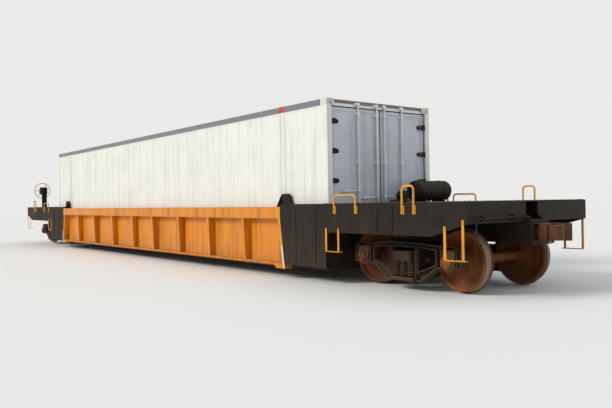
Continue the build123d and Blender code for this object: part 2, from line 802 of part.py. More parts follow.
def brake_wheel():
    """The hand brake's wheel: a rim on three spokes and a hub."""
    half = BRAKE_WHEEL_BAR / 2
    ring = RegularPolygon(BRAKE_WHEEL_R + half, BRAKE_WHEEL_SIDES)
    ring -= RegularPolygon(BRAKE_WHEEL_R - half, BRAKE_WHEEL_SIDES)
    rim = bar(ring, BRAKE_WHEEL_OUT - half, BRAKE_WHEEL_OUT + half)
    hub = bar(RegularPolygon(BRAKE_HUB_R, BRAKE_HUB_SIDES), 0, BRAKE_WHEEL_OUT + half)
    spokes = [
        Rot(0, 0, angle) * Pos(BRAKE_WHEEL_R / 2, 0, BRAKE_WHEEL_OUT) * Box(BRAKE_WHEEL_R, SPOKE_W, SPOKE_T)
        for angle in range(0, 360, 360 // SPOKE_COUNT)
    ]
    return Pos(BRAKE_BOX_X, BRAKE_STAND_Y, BRAKE_HUB_Z) * Rot(0, 90, 0) * fused([rim, hub] + spokes)


for tag, place in ENDS:
    grabs = [
        hoop(WIDE_HOOP_X, WIDE_HOOP_L, WIDE_HOOP_RISE),
        hoop(TALL_HOOP_X, TALL_HOOP_L, TALL_HOOP_RISE),
        step(APRON_END_X),
        step(OUTER_STEP_X),
    ]
    put(f"hoops_and_steps_{tag}", [place(side) for grab in grabs for side in both_sides(grab)])
put("air_brake_gear", [reservoir(), control_valve()])
put("brake_cylinder", turned(brake_cylinder()))
put("hand_brake_stand", turned(brake_stand()))
put("hand_brake_wheel", turned(brake_wheel()))

# Couplers, with the knuckle as its own casting. Columns: distance ahead of the face, offset across
HEAD_OUTLINE = [
    (-296, -62), (-262, -128), (-120, -146), (-52, -138), (-60, -64), (-150, -44), (-150, 52),
    (-62, 112), (38, 168), (60, 210), (-60, 204), (-190, 160), (-262, 128), (-296, 62),
]
KNUCKLE_OUTLINE = [
    (-110, -132), (-40, -168), (40, -160), (82, -112), (78, -20), (52, 26), (6, 22),
    (12, -40), (-16, -62), (-110, -68),
]
KNUCKLE_SLOT = [(-118, -180), (20, -180), (20, -40), (-118, -40)]


def casting_xy(outline, height):
    """A block cut to an outline measured from the coupler's face, centred on the coupler's height."""
    points = [(COUPLER_FACE_X + x, y) for x, y in outline]
    return slab_xy(points, COUPLER_Z - height / 2, COUPLER_Z + height / 2)


def coupler():
    """Shank and head, bored for the pivot pin and slotted for the knuckle."""
    shank = box(
        COUPLER_PIVOT_X - COUPLER_EYE, COUPLER_FACE_X - SHANK_SETBACK, -SHANK_W / 2, SHANK_W / 2,
        COUPLER_Z - SHANK_H / 2, COUPLER_Z + SHANK_H / 2,
    )
    bore = Pos(COUPLER_PIVOT_X, 0) * RegularPolygon(COUPLER_PIN_R, COUPLER_PIN_SIDES, major_radius=False)
    shank -= bar(bore, COUPLER_Z - SHANK_H, COUPLER_Z + SHANK_H)
    return fused([shank, casting_xy(HEAD_OUTLINE, HEAD_H)]) - casting_xy(KNUCKLE_SLOT, KNUCKLE_H)


for tag, place in ENDS:
    put(f"coupler_{tag}", place(coupler()))
    put(f"knuckle_{tag}", place(casting_xy(KNUCKLE_OUTLINE, KNUCKLE_H)))

# Trucks, drawn about their own middle and then set under each end
SEAT_TOP = FRAME_SEAT + SEAT_T
WINDOW_TOP = FRAME_TOP - TOP_CHORD
JAW_TOP = AXLE_Z + BEARING_R + JAW_ROOF
FRAME_IN = FRAME_Y - FRAME_T / 2
FRAME_OUT = FRAME_Y + FRAME_T / 2


def mirrored(half):
    """A closed outline from the points of its right half."""
    return Polygon(*half, *[(-x, z) for x, z in reversed(half)], align=None)


def frame_sketch():
    """A side frame from the side: compression member, jaws, columns and the dropped spring seat."""
    outline = mirrored([
        (FRAME_CROWN, FRAME_TOP),
        (SHOULDER_IN, FRAME_SHOULDER),
        (SHOULDER_OUT, FRAME_SHOULDER),
        (FRAME_END, FRAME_SHOULDER - NOSE_DROP),
        (FRAME_END, AXLE_Z - JAW_LOW),
        (AXLE_DX + JAW_HALF, AXLE_Z - JAW_LOW),
        (AXLE_DX + JAW_HALF, JAW_TOP),
        (AXLE_DX - JAW_HALF, JAW_TOP),
        (AXLE_DX - JAW_HALF, AXLE_Z - JAW_LOW),
        (KNEE_X, AXLE_Z - KNEE_DROP),
        (SEAT_HALF, FRAME_SEAT),
    ])
    window = mirrored([(WINDOW_HALF, WINDOW_TOP), (WINDOW_HALF, SEAT_TOP)])
    column = WINDOW_HALF + COLUMN_W
    triangle = [
        (column, SEAT_TOP + TENSION_RISE), (column, WINDOW_TOP),
        (TRIANGLE_END, FRAME_SHOULDER - TOP_CHORD), (TRIANGLE_END, AXLE_Z - TRIANGLE_DROP),
    ]
    holes = [Polygon(*[(sign * x, z) for x, z in triangle], align=None) for sign in (-1, 1)]
    return outline - window - holes


def side_frame():
    """A cast truss frame: a web behind, flanged along every edge of its face, and a wide spring seat."""
    sketch = frame_sketch()
    pocket = offset(sketch, amount=-FRAME_RIM, kind=Kind.INTERSECTION)
    body = panel_xz(sketch, FRAME_IN, FRAME_OUT) - panel_xz(pocket, FRAME_OUT - FRAME_POCKET, FRAME_OUT + 1)
    seat = box(-WINDOW_HALF, WINDOW_HALF, FRAME_Y - SEAT_LAP, FRAME_Y + SEAT_LAP, FRAME_SEAT, SEAT_TOP)
    return fused([body, seat])


def truck_bolster():
    """The cross beam that rests on the springs and carries the centre bowl and side bearings."""
    end_low = SEAT_TOP + SPRING_H
    end_high = end_low + BOLSTER_END_H
    crown = CENTRE_PLATE_Z - BOLSTER_CROWN
    half = [
        (BOLSTER_MID, end_low - BOLSTER_BELLY), (BOLSTER_ARM, end_low), (BOLSTER_END, end_low),
        (BOLSTER_END, end_high), (BOLSTER_ARM, end_high), (BOLSTER_MID, crown),
    ]
    beam = slab_yz(half + [(-y, z) for y, z in reversed(half)], -BOLSTER_HALF, BOLSTER_HALF)
    rim = CENTRE_PLATE_Z + BOWL_RIM_H
    bowl = bar(RegularPolygon(BOWL_R + BOWL_WALL, BOWL_SIDES), crown, rim)
    bowl -= bar(RegularPolygon(BOWL_R, BOWL_SIDES, major_radius=False), CENTRE_PLATE_Z, rim + 1)
    top = SILL_BOTTOM - WEAR_PLATE_T - RUN_GAP
    half_w = SIDE_BEARING_W / 2
    pad = box(
        -SIDE_BEARING_L / 2, SIDE_BEARING_L / 2, SIDE_BEARING_Y - half_w, SIDE_BEARING_Y + half_w,
        top - SIDE_BEARING_H, top,
    )
    return fused([beam, bowl] + both_sides(pad))


def springs():
    """Two nests of spring posts, three along by two across each."""
    section = RegularPolygon(SPRING_R, SPRING_SIDES, major_radius=False, rotation=180 / SPRING_SIDES)
    return [
        bar(Pos(dx, sign * (FRAME_Y + dy)) * section, SEAT_TOP, SEAT_TOP + SPRING_H)
        for sign in (-1, 1) for dx in (-SPRING_DX, 0, SPRING_DX) for dy in (-SPRING_DY, SPRING_DY)
    ]


def bearing(dx):
    """A roller bearing cup with the adapter that seats it in the jaw."""
    hub = Pos(dx, AXLE_Z)
    cup = hub * RegularPolygon(BEARING_R, BEARING_SIDES, major_radius=False)
    bore = hub * RegularPolygon(AXLE_R + RUN_GAP, AXLE_SIDES, major_radius=False)
    y0 = JOURNAL_END - BEARING_LEN
    saddle = box(dx - ADAPTER_HALF, dx + ADAPTER_HALF, FRAME_IN, FRAME_OUT, AXLE_Z + ADAPTER_RISE, JAW_TOP)
    return fused([panel_xz(cup, y0, JOURNAL_END), saddle]) - panel_xz(bore, y0 - 1, JOURNAL_END + 1)


def brake_beam(sign):
    """A beam between the wheels of one axle, guided in the side frames, with a shoe at each tread."""
    tread_x = sign * (AXLE_DX - TREAD_R - SHOE_GAP)
    back_x = tread_x - sign * SHOE_T
    low = AXLE_Z - BEAM_H / 2
    high = AXLE_Z + BEAM_H / 2
    reach = WHEEL_OUT - BEAM_IN
    beam = box(back_x, back_x - sign * BEAM_W, -reach, reach, low, high)
    arm = box(sign * (WINDOW_HALF + BEAM_GUIDE_GAP), back_x, reach - BEAM_IN, FRAME_IN, low, high)
    y0 = WHEEL_IN + SHOE_IN
    y1 = WHEEL_OUT - SHOE_OUT
    shoe = box(back_x, tread_x + sign * BEAM_W, y0, y1, AXLE_Z - SHOE_H / 2, AXLE_Z + SHOE_H / 2)
    shoe -= across(sign * AXLE_DX, AXLE_Z, y0 - 1, y1 + 1, TREAD_R + SHOE_GAP)
    return fused([beam] + both_sides(arm) + both_sides(shoe))


def wheel(dx):
    """A wheel pressed on its axle: flat back, flange, coned tread, rim and dished plate."""
    flange = narrowed(TREAD_R + FLANGE_H, TREAD_R, FLANGE_W, WHEEL_SIDES)
    tread = narrowed(TREAD_R, TREAD_R - TREAD_FALL, WHEEL_WIDTH - FLANGE_W, WHEEL_SIDES)
    dish = Rot(180, 0, 0) * narrowed(TREAD_R - RIM_DEPTH, HUB_R, DISH_DEPTH, WHEEL_SIDES)
    blank = fused([flange, Pos(0, 0, FLANGE_W) * tread]) - Pos(0, 0, WHEEL_WIDTH) * dish
    bored = blank - bar(RegularPolygon(AXLE_R, AXLE_SIDES), -1, WHEEL_WIDTH + 1)
    return Pos(dx, WHEEL_IN, AXLE_Z) * Rot(-90, 0, 0) * bored


def axle(dx):
    """A plain shaft with a cap bolted over each bearing."""
    end = JOURNAL_END + RUN_GAP
    shaft = panel_xz(Pos(dx, AXLE_Z) * RegularPolygon(AXLE_R, AXLE_SIDES), -end, end)
    cap = panel_xz(Pos(dx, AXLE_Z) * RegularPolygon(END_CAP_R, AXLE_SIDES), end, JOURNAL_END + END_CAP_T)
    return fused([shaft] + both_sides(cap))


for tag, place in ENDS:
    def under_car(shape, place=place):
        return place(Pos(TRUCK_X, 0, 0) * shape)

    cups = [side for dx in (-AXLE_DX, AXLE_DX) for side in both_sides(bearing(dx))]
    put(f"side_frames_{tag}", [under_car(side) for side in both_sides(side_frame())])
    put(f"truck_bolster_{tag}", under_car(truck_bolster()))
    put(f"springs_{tag}", [under_car(coil) for coil in springs()])
    put(f"bearings_{tag}", [under_car(cup) for cup in cups])
    put(f"brake_beams_{tag}", [under_car(brake_beam(sign)) for sign in (-1, 1)])
    for number, dx in ((1, -AXLE_DX), (2, AXLE_DX)):
        put(f"wheels_{tag}{number}", [under_car(side) for side in both_sides(wheel(dx))])
        put(f"axle_{tag}{number}", under_car(axle(dx)))

# Container: floor, sides with rails and lifting posts, roof, front, rear frame and doors
BOX_HALF_L = BOX_L / 2
BOX_HALF_W = BOX_W / 2
BOX_TOP = BOX_Z + BOX_H
RAIL_LOW = BOX_Z + UNDER_GAP
RAIL_HIGH = BOX_TOP - OVER_GAP
POST_X = BOX_HALF_L - CASTING_L
FLOOR_TOP = RAIL_LOW + FLOOR_BEAM_H + FLOOR_T
INNER_Y = BOX_HALF_W - RAIL_W
DOOR_FACE_X = BOX_HALF_L - DOOR_INSET
CASTING_IN = LIFT_Y - CASTING_W / 2
DOOR_EDGE = BOX_HALF_W - END_POST_Y


def container_floor():
    """A deck on closely spaced cross beams."""
    deck = box(-POST_X, POST_X, -INNER_Y, INNER_Y, RAIL_LOW + FLOOR_BEAM_H, FLOOR_TOP)
    count = int(2 * POST_X / FLOOR_BEAM_PITCH)
    half = FLOOR_BEAM_W / 2
    beams = [
        box(x - half, x + half, -INNER_Y, INNER_Y, RAIL_LOW, RAIL_LOW + FLOOR_BEAM_H)
        for x in [(i - (count - 1) / 2) * FLOOR_BEAM_PITCH for i in range(count)]
        if abs(abs(x) - LIFT_X) > CASTING_L / 2 + FLOOR_BEAM_W
    ]
    return fused([deck] + beams)


def container_side():
    """A smooth panel between the rails, which the castings break, and the two lifting posts."""
    lift = CASTING_L / 2
    spans = [(-POST_X, -LIFT_X - lift), (-LIFT_X + lift, LIFT_X - lift), (LIFT_X + lift, POST_X)]
    low = BOX_Z + CASTING_H
    high = BOX_TOP - CASTING_H
    face_y = BOX_HALF_W - PANEL_INSET
    pieces = [box(-POST_X, POST_X, face_y - PANEL_T, face_y, low, high)]
    for x0, x1 in spans:
        pieces.append(box(x0, x1, INNER_Y, BOX_HALF_W, RAIL_LOW, RAIL_LOW + BOTTOM_RAIL_H))
        pieces.append(box(x0, x1, INNER_Y, BOX_HALF_W, RAIL_HIGH - TOP_RAIL_H, RAIL_HIGH))
    half = LIFT_POST_W / 2
    pieces += both_ends(box(LIFT_X - half, LIFT_X + half, INNER_Y, BOX_HALF_W, low, high))
    return fused(pieces)


def container_roof():
    """A skin on bows, notched round the lifting castings."""
    roof = box(-POST_X, POST_X, -INNER_Y, INNER_Y, BOX_TOP - ROOF_DROP - ROOF_T, BOX_TOP - ROOF_DROP)
    half = CASTING_L / 2
    notch = box(LIFT_X - half, LIFT_X + half, CASTING_IN, BOX_HALF_W, BOX_TOP - CASTING_H, BOX_TOP)
    for side in both_sides(notch):
        for end in both_ends(side):
            roof -= end
    return roof


def pocket(x, y, low, bottom):
    """The straight pocket behind a casting's plain lifting slot."""
    start = low - 1 if bottom else low + CASTING_WALL
    return bar(Pos(x, y) * Rectangle(APERTURE_L, APERTURE_W), start, start + CASTING_H - CASTING_WALL + 1)


def lifting_casting(bottom):
    """A casting at a lifting post, widened out to the container's side; the top ones are hollow."""
    low = BOX_Z if bottom else BOX_TOP - CASTING_H
    half = CASTING_L / 2
    block = box(LIFT_X - half, LIFT_X + half, CASTING_IN, BOX_HALF_W, low, low + CASTING_H)
    if bottom:
        return block - pocket(LIFT_X, LIFT_Y, low, bottom)
    room_l = half - CASTING_SIDE_T
    room_w = CASTING_W / 2 - CASTING_SIDE_T
    roof = BOX_TOP - CASTING_WALL
    room = box(
        LIFT_X - room_l, LIFT_X + room_l, LIFT_Y - room_w, LIFT_Y + room_w, low + CASTING_WALL, roof,
    )
    slot = Pos(LIFT_X, LIFT_Y) * SlotOverall(APERTURE_L, APERTURE_W)
    return block - room - bar(slot, roof - 1, BOX_TOP + 1)


def corner_casting(bottom):
    """A casting at the container's corner, with an eye in its end."""
    low = BOX_Z if bottom else BOX_TOP - CASTING_H
    block = box(POST_X, BOX_HALF_L, BOX_HALF_W - CASTING_W, BOX_HALF_W, low, low + CASTING_H)
    x = BOX_HALF_L - CASTING_L / 2
    y = BOX_HALF_W - CASTING_W / 2
    z = low + CASTING_H / 2
    half_w = EYE_W / 2
    half_l = EYE_L / 2
    eye = box(BOX_HALF_L - CASTING_WALL, BOX_HALF_L + 1, y - half_w, y + half_w, z - half_l, z + half_l)
    return block - pocket(x, y, low, bottom) - eye


def end_frame():
    """Two posts between the castings, and a header and a sill set back to the doors' face."""
    low = BOX_Z + CASTING_H
    high = BOX_TOP - CASTING_H
    reach = BOX_HALF_W - CASTING_W
    posts = both_sides(box(POST_X, BOX_HALF_L, BOX_HALF_W - END_POST_Y, BOX_HALF_W, low, high))
    header = box(POST_X, DOOR_FACE_X, -reach, reach, RAIL_HIGH - HEADER_H, RAIL_HIGH)
    sill = box(POST_X, DOOR_FACE_X, -reach, reach, RAIL_LOW, RAIL_LOW + DOOR_SILL_H)
    return posts + [header, sill]


def front_wall():
    """The closed end, a panel let in between posts, header and sill."""
    low = RAIL_LOW + DOOR_SILL_H
    high = RAIL_HIGH - HEADER_H
    panel = box(DOOR_FACE_X - FRONT_T, DOOR_FACE_X, -DOOR_EDGE, DOOR_EDGE, low, high)
    return fused(end_frame() + [panel])


def door():
    """One leaf, a flat field framed all round, with hinges that reach the corner post."""
    near = DOOR_GAP / 2
    far = DOOR_EDGE - DOOR_GAP
    low = RAIL_LOW + DOOR_SILL_H + DOOR_GAP
    high = RAIL_HIGH - HEADER_H - DOOR_GAP
    rim = DOOR_FRAME_W
    leaf = box(DOOR_FACE_X - DOOR_T, DOOR_FACE_X, near, far, low, high)
    field_x = DOOR_FACE_X - DOOR_FIELD_DEPTH
    leaf -= box(field_x, DOOR_FACE_X + 1, near + rim, far - rim, low + rim, high - rim)
    pitch = (high - low) / HINGE_COUNT
    x0 = DOOR_FACE_X - DOOR_T / 2
    x1 = DOOR_FACE_X + HINGE_T
    middles = [low + (i + 0.5) * pitch for i in range(HINGE_COUNT)]
    half = HINGE_H / 2
    hinges = [box(x0, x1, DOOR_EDGE - HINGE_REACH, DOOR_EDGE, z - half, z + half) for z in middles]
    return fused([leaf] + hinges)


def lock_rod(y):
    """A locking rod with the guides that hold it to the door and the keepers at its ends."""
    low = RAIL_LOW + (DOOR_SILL_H - KEEPER_H) / 2
    high = RAIL_HIGH - (HEADER_H - KEEPER_H) / 2
    x = DOOR_FACE_X + LOCK_ROD_OUT + LOCK_ROD_R
    half = KEEPER_H / 2
    middles = [low + half, high - half] + [low + share * (high - low) for share in LOCK_GUIDE_Z]
    guides = [
        box(DOOR_FACE_X, x + LOCK_ROD_R + KEEPER_COVER, y - half, y + half, z - half, z + half)
        for z in middles
    ]
    return fused([bar(Pos(x, y) * RegularPolygon(LOCK_ROD_R, LOCK_ROD_SIDES), low, high)] + guides)


def all_corners(shape):
    """The same shape at the four corners of the container."""
    return [end for side in both_sides(shape) for end in both_ends(side)]


put("container_floor", container_floor())
put("container_side_left", container_side())
put("container_side_right", other_side(container_side()))
put("container_roof", container_roof())
put("container_front", turned(front_wall()))
put("container_rear_frame", end_frame())
put("container_door_left", door())
put("container_door_right", other_side(door()))
outer_y = DOOR_EDGE - OUTER_ROD_IN
put("lock_rods", [lock_rod(sign * y) for sign in (-1, 1) for y in (INNER_ROD_Y, outer_y)])
put("lifting_castings", all_corners(lifting_casting(True)) + all_corners(lifting_casting(False)))
put("corner_castings", all_corners(corner_casting(True)) + all_corners(corner_casting(False)))

for name, shape in nodes.items():
    export_step(shape, f"parts/{name}.step")
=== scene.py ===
"""Looks of a well flatcar with its container: a finish on every carried node, and the fine detail modelled on them.

Metres. X runs along the car towards the container's doors, Y across it, Z up.
"""
import json
import logging
import math
from collections.abc import Callable, Iterable
from dataclasses import dataclass, field, replace
from enum import Enum

import bpy
from mathutils import Matrix, Vector


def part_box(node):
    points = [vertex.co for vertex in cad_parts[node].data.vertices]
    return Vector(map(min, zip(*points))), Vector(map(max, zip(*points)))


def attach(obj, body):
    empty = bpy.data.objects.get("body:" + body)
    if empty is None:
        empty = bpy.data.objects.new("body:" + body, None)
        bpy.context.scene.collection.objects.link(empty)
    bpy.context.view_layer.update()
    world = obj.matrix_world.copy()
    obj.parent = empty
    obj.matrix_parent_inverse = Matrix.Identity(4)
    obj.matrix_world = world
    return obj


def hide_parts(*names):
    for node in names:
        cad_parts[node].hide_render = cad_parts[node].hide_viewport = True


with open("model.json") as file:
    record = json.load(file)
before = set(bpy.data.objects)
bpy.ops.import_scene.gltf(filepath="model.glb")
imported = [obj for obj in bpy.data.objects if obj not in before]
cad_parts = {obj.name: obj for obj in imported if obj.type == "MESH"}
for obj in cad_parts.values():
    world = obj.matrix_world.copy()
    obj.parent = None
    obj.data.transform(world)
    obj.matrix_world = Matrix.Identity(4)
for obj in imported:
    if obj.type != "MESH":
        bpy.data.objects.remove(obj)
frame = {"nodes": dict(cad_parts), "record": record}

log = logging.getLogger("flatcar")

Colour = tuple[float, float, float]
Point = tuple[float, float, float]
Piece = bpy.types.Object
Node = bpy.types.Node
Socket = bpy.types.NodeSocket
FaceTest = Callable[[bpy.types.MeshPolygon], bool]

DECK_Z = 1.358


class Slot(Enum):
    """The record's material slots."""

    SIDE_YELLOW = "side_yellow"
    END_BLACK = "end_black"
    FLOOR_BLACK = "floor_black"
    FITTING_YELLOW = "fitting_yellow"
    TRUCK_BROWN = "truck_brown"
    SPRING_STEEL = "spring_steel"
    BEARING_STEEL = "bearing_steel"
    WHEEL_RUST = "wheel_rust"
    COUPLER_RUST = "coupler_rust"
    CONTAINER_WHITE = "container_white"
    DOOR_GREY = "door_grey"
    CONTAINER_FLOOR = "container_floor"
    ROD_GALVANISED = "rod_galvanised"
    LIFTING_ORANGE = "lifting_orange"
    CASTING_WHITE = "casting_white"


class Axis(Enum):
    """The car's three directions."""

    X = Vector((1, 0, 0))
    Y = Vector((0, 1, 0))
    Z = Vector((0, 0, 1))


def linear(colour: Colour) -> tuple[float, float, float, float]:
    """Turns a colour as it looks on a screen into the linear values that a shader takes."""
    red, green, blue = (c / 12.92 if c <= 0.04045 else ((c + 0.055) / 1.055) ** 2.4 for c in colour)
    return (red, green, blue, 1.0)


class Trim(Enum):
    """Finishes that some pieces and nodes wear in place of their slot's."""

    TREAD = "tread"
    RUBBER = "rubber"
    ROOFING = "roofing"
    FRAMING = "framing"


TRIMMED = {"container_roof": Trim.ROOFING, "container_rear_frame": Trim.FRAMING}
IDENTITY = Matrix.Identity(4)
ALONG = Matrix.Rotation(math.radians(-90), 4, "X")
MIRROR = Matrix.Scale(-1, 4, Vector((0, 1, 0)))
SIDES = (IDENTITY, MIRROR)
ENDS = {"a": IDENTITY, "b": Matrix.Rotation(math.radians(180), 4, "Z")}
BOTH_WAYS = (-1, 1)


def at(x: float, y: float, z: float) -> Matrix:
    """A place without a turn."""
    return Matrix.Translation((x, y, z))


def turned(foot: Point, axis: Axis, sign: int = 1) -> Matrix:
    """The place of a piece that is modelled standing on the origin and then points along an axis, or against it."""
    return at(*foot) @ (sign * axis.value).to_track_quat("Z", "Y").to_matrix().to_4x4()


def circle(count: int, radius: float, height: float = 0.0, first: float = 0.0) -> list[Matrix]:
    """Places evenly round the upright axis, the first of them at an angle in degrees."""
    angles = [math.radians(first + i * 360 / count) for i in range(count)]
    return [Matrix.Rotation(angle, 4, "Z") @ at(radius, 0, height) for angle in angles]


def corners(x: float, y: float, dx: float, dy: float) -> list[tuple[float, float]]:
    """The four points that lie dx and dy either way of a middle."""
    return [(x + i * dx, y + j * dy) for i in BOTH_WAYS for j in BOTH_WAYS]


def divide(start: float, end: float, cuts: Iterable[float], gap: float) -> list[tuple[float, float]]:
    """Each piece's start and end, where a length is divided by cuts as wide as the gap."""
    edges = [start, *(cut + side * gap / 2 for cut in cuts for side in BOTH_WAYS), end]
    return list(zip(edges[::2], edges[1::2]))


def middle(node: str) -> Vector:
    """The middle of a carried node's box."""
    return sum(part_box(node), Vector()) / 2


def facing(axis: Axis, sign: int = 1) -> FaceTest:
    """A test that picks the faces that look along a direction, or against it."""
    return lambda face: sign * face.normal.dot(axis.value) > 0.9


# Finishes


class Sheet:
    """A node tree with short calls that place nodes and join them."""

    def __init__(self, tree: bpy.types.NodeTree) -> None:
        """Starts on a tree."""
        self.tree = tree

    def place(self, kind: str, **settings: object) -> Node:
        """Adds a node.

        Args:
            kind: the node's type.
            settings: properties to set on it.

        Returns:
            The node.
        """
        node = self.tree.nodes.new(kind)
        for key, value in settings.items():
            setattr(node, key, value)
        return node

    def feed(self, socket: Socket, value: object) -> None:
        """Joins a socket to another, or sets its plain value.

        Args:
            socket: the input to fill.
            value: an output socket, a number, a colour or a vector.
        """
        if isinstance(value, Socket):
            self.tree.links.new(value, socket)
        else:
            socket.default_value = value

    def math(self, operation: str, a: object, b: object = 0.0) -> Socket:
        """Adds one step of arithmetic.

        Args:
            operation: the Math node's operation.
            a: the first value.
            b: the second value.

        Returns:
            The result's socket.
        """
        node = self.place("ShaderNodeMath", operation=operation)
        self.feed(node.inputs[0], a)
        self.feed(node.inputs[1], b)
        return node.outputs[0]

    def remap(
        self, value: object, low: object, high: object, start: float = 0.0, end: float = 1.0,
    ) -> Socket:
        """Maps a value that runs from low to high onto start to end, and holds it there.

        Args:
            value: the value to map.
            low: where it starts.
            high: where it ends.
            start: what low becomes.
            end: what high becomes.

        Returns:
            The result's socket.
        """
        node = self.place("ShaderNodeMapRange", clamp=True)
        for index, part in enumerate((value, low, high, start, end)):
            self.feed(node.inputs[index], part)
        return node.outputs[0]

    def mix(self, factor: object, a: object, b: object) -> Socket:
        """Mixes two colours.

        Args:
            factor: how much of b shows.
            a: the colour underneath.
            b: the colour on top.

        Returns:
            The mixed colour's socket.
        """
        node = self.place("ShaderNodeMix", data_type="RGBA")
        self.feed(node.inputs[0], factor)
        self.feed(node.inputs[6], a)
        self.feed(node.inputs[7], b)
        return node.outputs[2]

    def noise(self, vector: object, scale: object, detail: float, rough: float) -> Socket:
        """Adds a noise pattern.

        Args:
            vector: where the pattern is read.
            scale: its fineness, in patches a metre.
            detail: how many finer layers it has.
            rough: how strong those are.

        Returns:
            The pattern's socket, about 0.5 on average.
        """
        node = self.place("ShaderNodeTexNoise")
        self.feed(node.inputs["Vector"], vector)
        self.feed(node.inputs["Scale"], scale)
        self.feed(node.inputs["Detail"], detail)
        self.feed(node.inputs["Roughness"], rough)
        return node.outputs[0]

    def position(self) -> Socket:
        """The point on the piece, in metres in the car's frame."""
        return self.place("ShaderNodeTexCoord").outputs["Object"]

    def parts(self, vector: object) -> tuple[Socket, ...]:
        """Splits a vector.

        Args:
            vector: the vector.

        Returns:
            Its X, Y and Z.
        """
        node = self.place("ShaderNodeSeparateXYZ")
        self.feed(node.inputs[0], vector)
        return tuple(node.outputs)


@dataclass
class Effects:
    """Shader node groups that several finishes share, each built once.

    Attributes:
        groups: each group by its name.
    """

    groups: dict[str, bpy.types.NodeTree] = field(default_factory=dict)

    def start(
        self, name: str, inputs: dict[str, float], output: str,
    ) -> tuple[Sheet, Node, Node]:
        """Opens a new group with its sockets.

        Args:
            name: the group's name.
            inputs: each input's name and usual value.
            output: the output's name.

        Returns:
            The group's sheet, its input node and its output node.
        """
        tree = bpy.data.node_groups.new(name, "ShaderNodeTree")
        for title, value in inputs.items():
            socket = tree.interface.new_socket(name=title, in_out="INPUT", socket_type="NodeSocketFloat")
            socket.default_value = value
        tree.interface.new_socket(name=output, in_out="OUTPUT", socket_type="NodeSocketFloat")
        sheet = Sheet(tree)
        self.groups[name] = tree
        return sheet, sheet.place("NodeGroupInput"), sheet.place("NodeGroupOutput")

    def use(self, sheet: Sheet, name: str, **values: object) -> Socket:
        """Places a group in a finish.

        Args:
            sheet: the finish's sheet.
            name: the group's name.
            values: inputs to set, by name, with _ for a space.

        Returns:
            The group's output.
        """
        node = sheet.place("ShaderNodeGroup", node_tree=self.groups[name])
        for key, value in values.items():
            sheet.feed(node.inputs[key.replace("_", " ")], value)
        return node.outputs[0]

    def build(self) -> None:
        """Builds every group."""
        self.blotches()
        self.rain_streaks()
        self.rising_dust()
        self.chips()
        self.settled_dust()
        self.grain()

    def blotches(self) -> None:
        """Soft uneven patches, as in faded paint or spread rust."""
        sheet, given, out = self.start("Blotches", {"Scale": 2.0, "Low": 0.42, "High": 0.62}, "Mask")
        pattern = sheet.noise(sheet.position(), given.outputs["Scale"], 6.0, 0.6)
        sheet.feed(out.inputs[0], sheet.remap(pattern, given.outputs["Low"], given.outputs["High"]))

    def rain_streaks(self) -> None:
        """Runs that rain leaves down an upright wall."""
        sheet, given, out = self.start(
            "Rain Streaks", {"Across": 9.0, "Drop": 0.5, "Low": 0.48, "High": 0.68}, "Mask",
        )
        size = sheet.place("ShaderNodeCombineXYZ")
        for index, name in enumerate(("Across", "Across", "Drop")):
            sheet.feed(size.inputs[index], given.outputs[name])
        stretch = sheet.place("ShaderNodeVectorMath", operation="MULTIPLY")
        sheet.feed(stretch.inputs[0], sheet.position())
        sheet.feed(stretch.inputs[1], size.outputs[0])
        pattern = sheet.noise(stretch.outputs[0], 1.0, 4.0, 0.62)
        sheet.feed(out.inputs[0], sheet.remap(pattern, given.outputs["Low"], given.outputs["High"]))

    def rising_dust(self) -> None:
        """Road dust that is thick low down and thins out with height."""
        sheet, given, out = self.start("Rising Dust", {"Bottom": 0.0, "Top": 1.0}, "Mask")
        place = sheet.position()
        height = sheet.parts(place)[2]
        wave = sheet.math("SUBTRACT", sheet.noise(place, 3.0, 5.0, 0.6), 0.5)
        reach = sheet.math("SUBTRACT", given.outputs["Top"], given.outputs["Bottom"])
        uneven = sheet.math("ADD", height, sheet.math("MULTIPLY", wave, reach))
        sheet.feed(out.inputs[0], sheet.remap(uneven, given.outputs["Bottom"], given.outputs["Top"], 1.0, 0.0))

    def chips(self) -> None:
        """Small sharp spots where paint has come off, in clusters."""
        sheet, given, out = self.start("Chips", {"Scale": 45.0, "Amount": 0.3}, "Mask")
        place = sheet.position()
        spots = sheet.noise(place, given.outputs["Scale"], 3.0, 0.7)
        cluster = sheet.noise(place, sheet.math("MULTIPLY", given.outputs["Scale"], 0.06), 3.0, 0.5)
        level = sheet.math("SUBTRACT", 0.92, sheet.math("MULTIPLY", given.outputs["Amount"], cluster))
        sheet.feed(out.inputs[0], sheet.remap(spots, level, sheet.math("ADD", level, 0.03)))

    def settled_dust(self) -> None:
        """Dust on what faces up."""
        sheet, given, out = self.start("Settled Dust", {"Amount": 0.6}, "Mask")
        upward = sheet.parts(sheet.place("ShaderNodeNewGeometry").outputs["Normal"])[2]
        flat = sheet.remap(upward, 0.35, 0.95)
        patchy = sheet.remap(sheet.noise(sheet.position(), 5.0, 5.0, 0.6), 0.3, 0.7, 0.55, 1.0)
        both = sheet.math("MULTIPLY", flat, patchy)
        sheet.feed(out.inputs[0], sheet.math("MULTIPLY", both, given.outputs["Amount"]))

    def grain(self) -> None:
        """The fine unevenness of a rolled, cast or sprayed surface."""
        sheet, given, out = self.start("Grain", {"Scale": 120.0, "Ripple": 0.3}, "Height")
        place = sheet.position()
        fine = sheet.noise(place, given.outputs["Scale"], 3.0, 0.6)
        broad = sheet.noise(place, sheet.math("MULTIPLY", given.outputs["Scale"], 0.05), 2.0, 0.5)
        sheet.feed(out.inputs[0], sheet.math("ADD", fine, sheet.math("MULTIPLY", broad, given.outputs["Ripple"])))


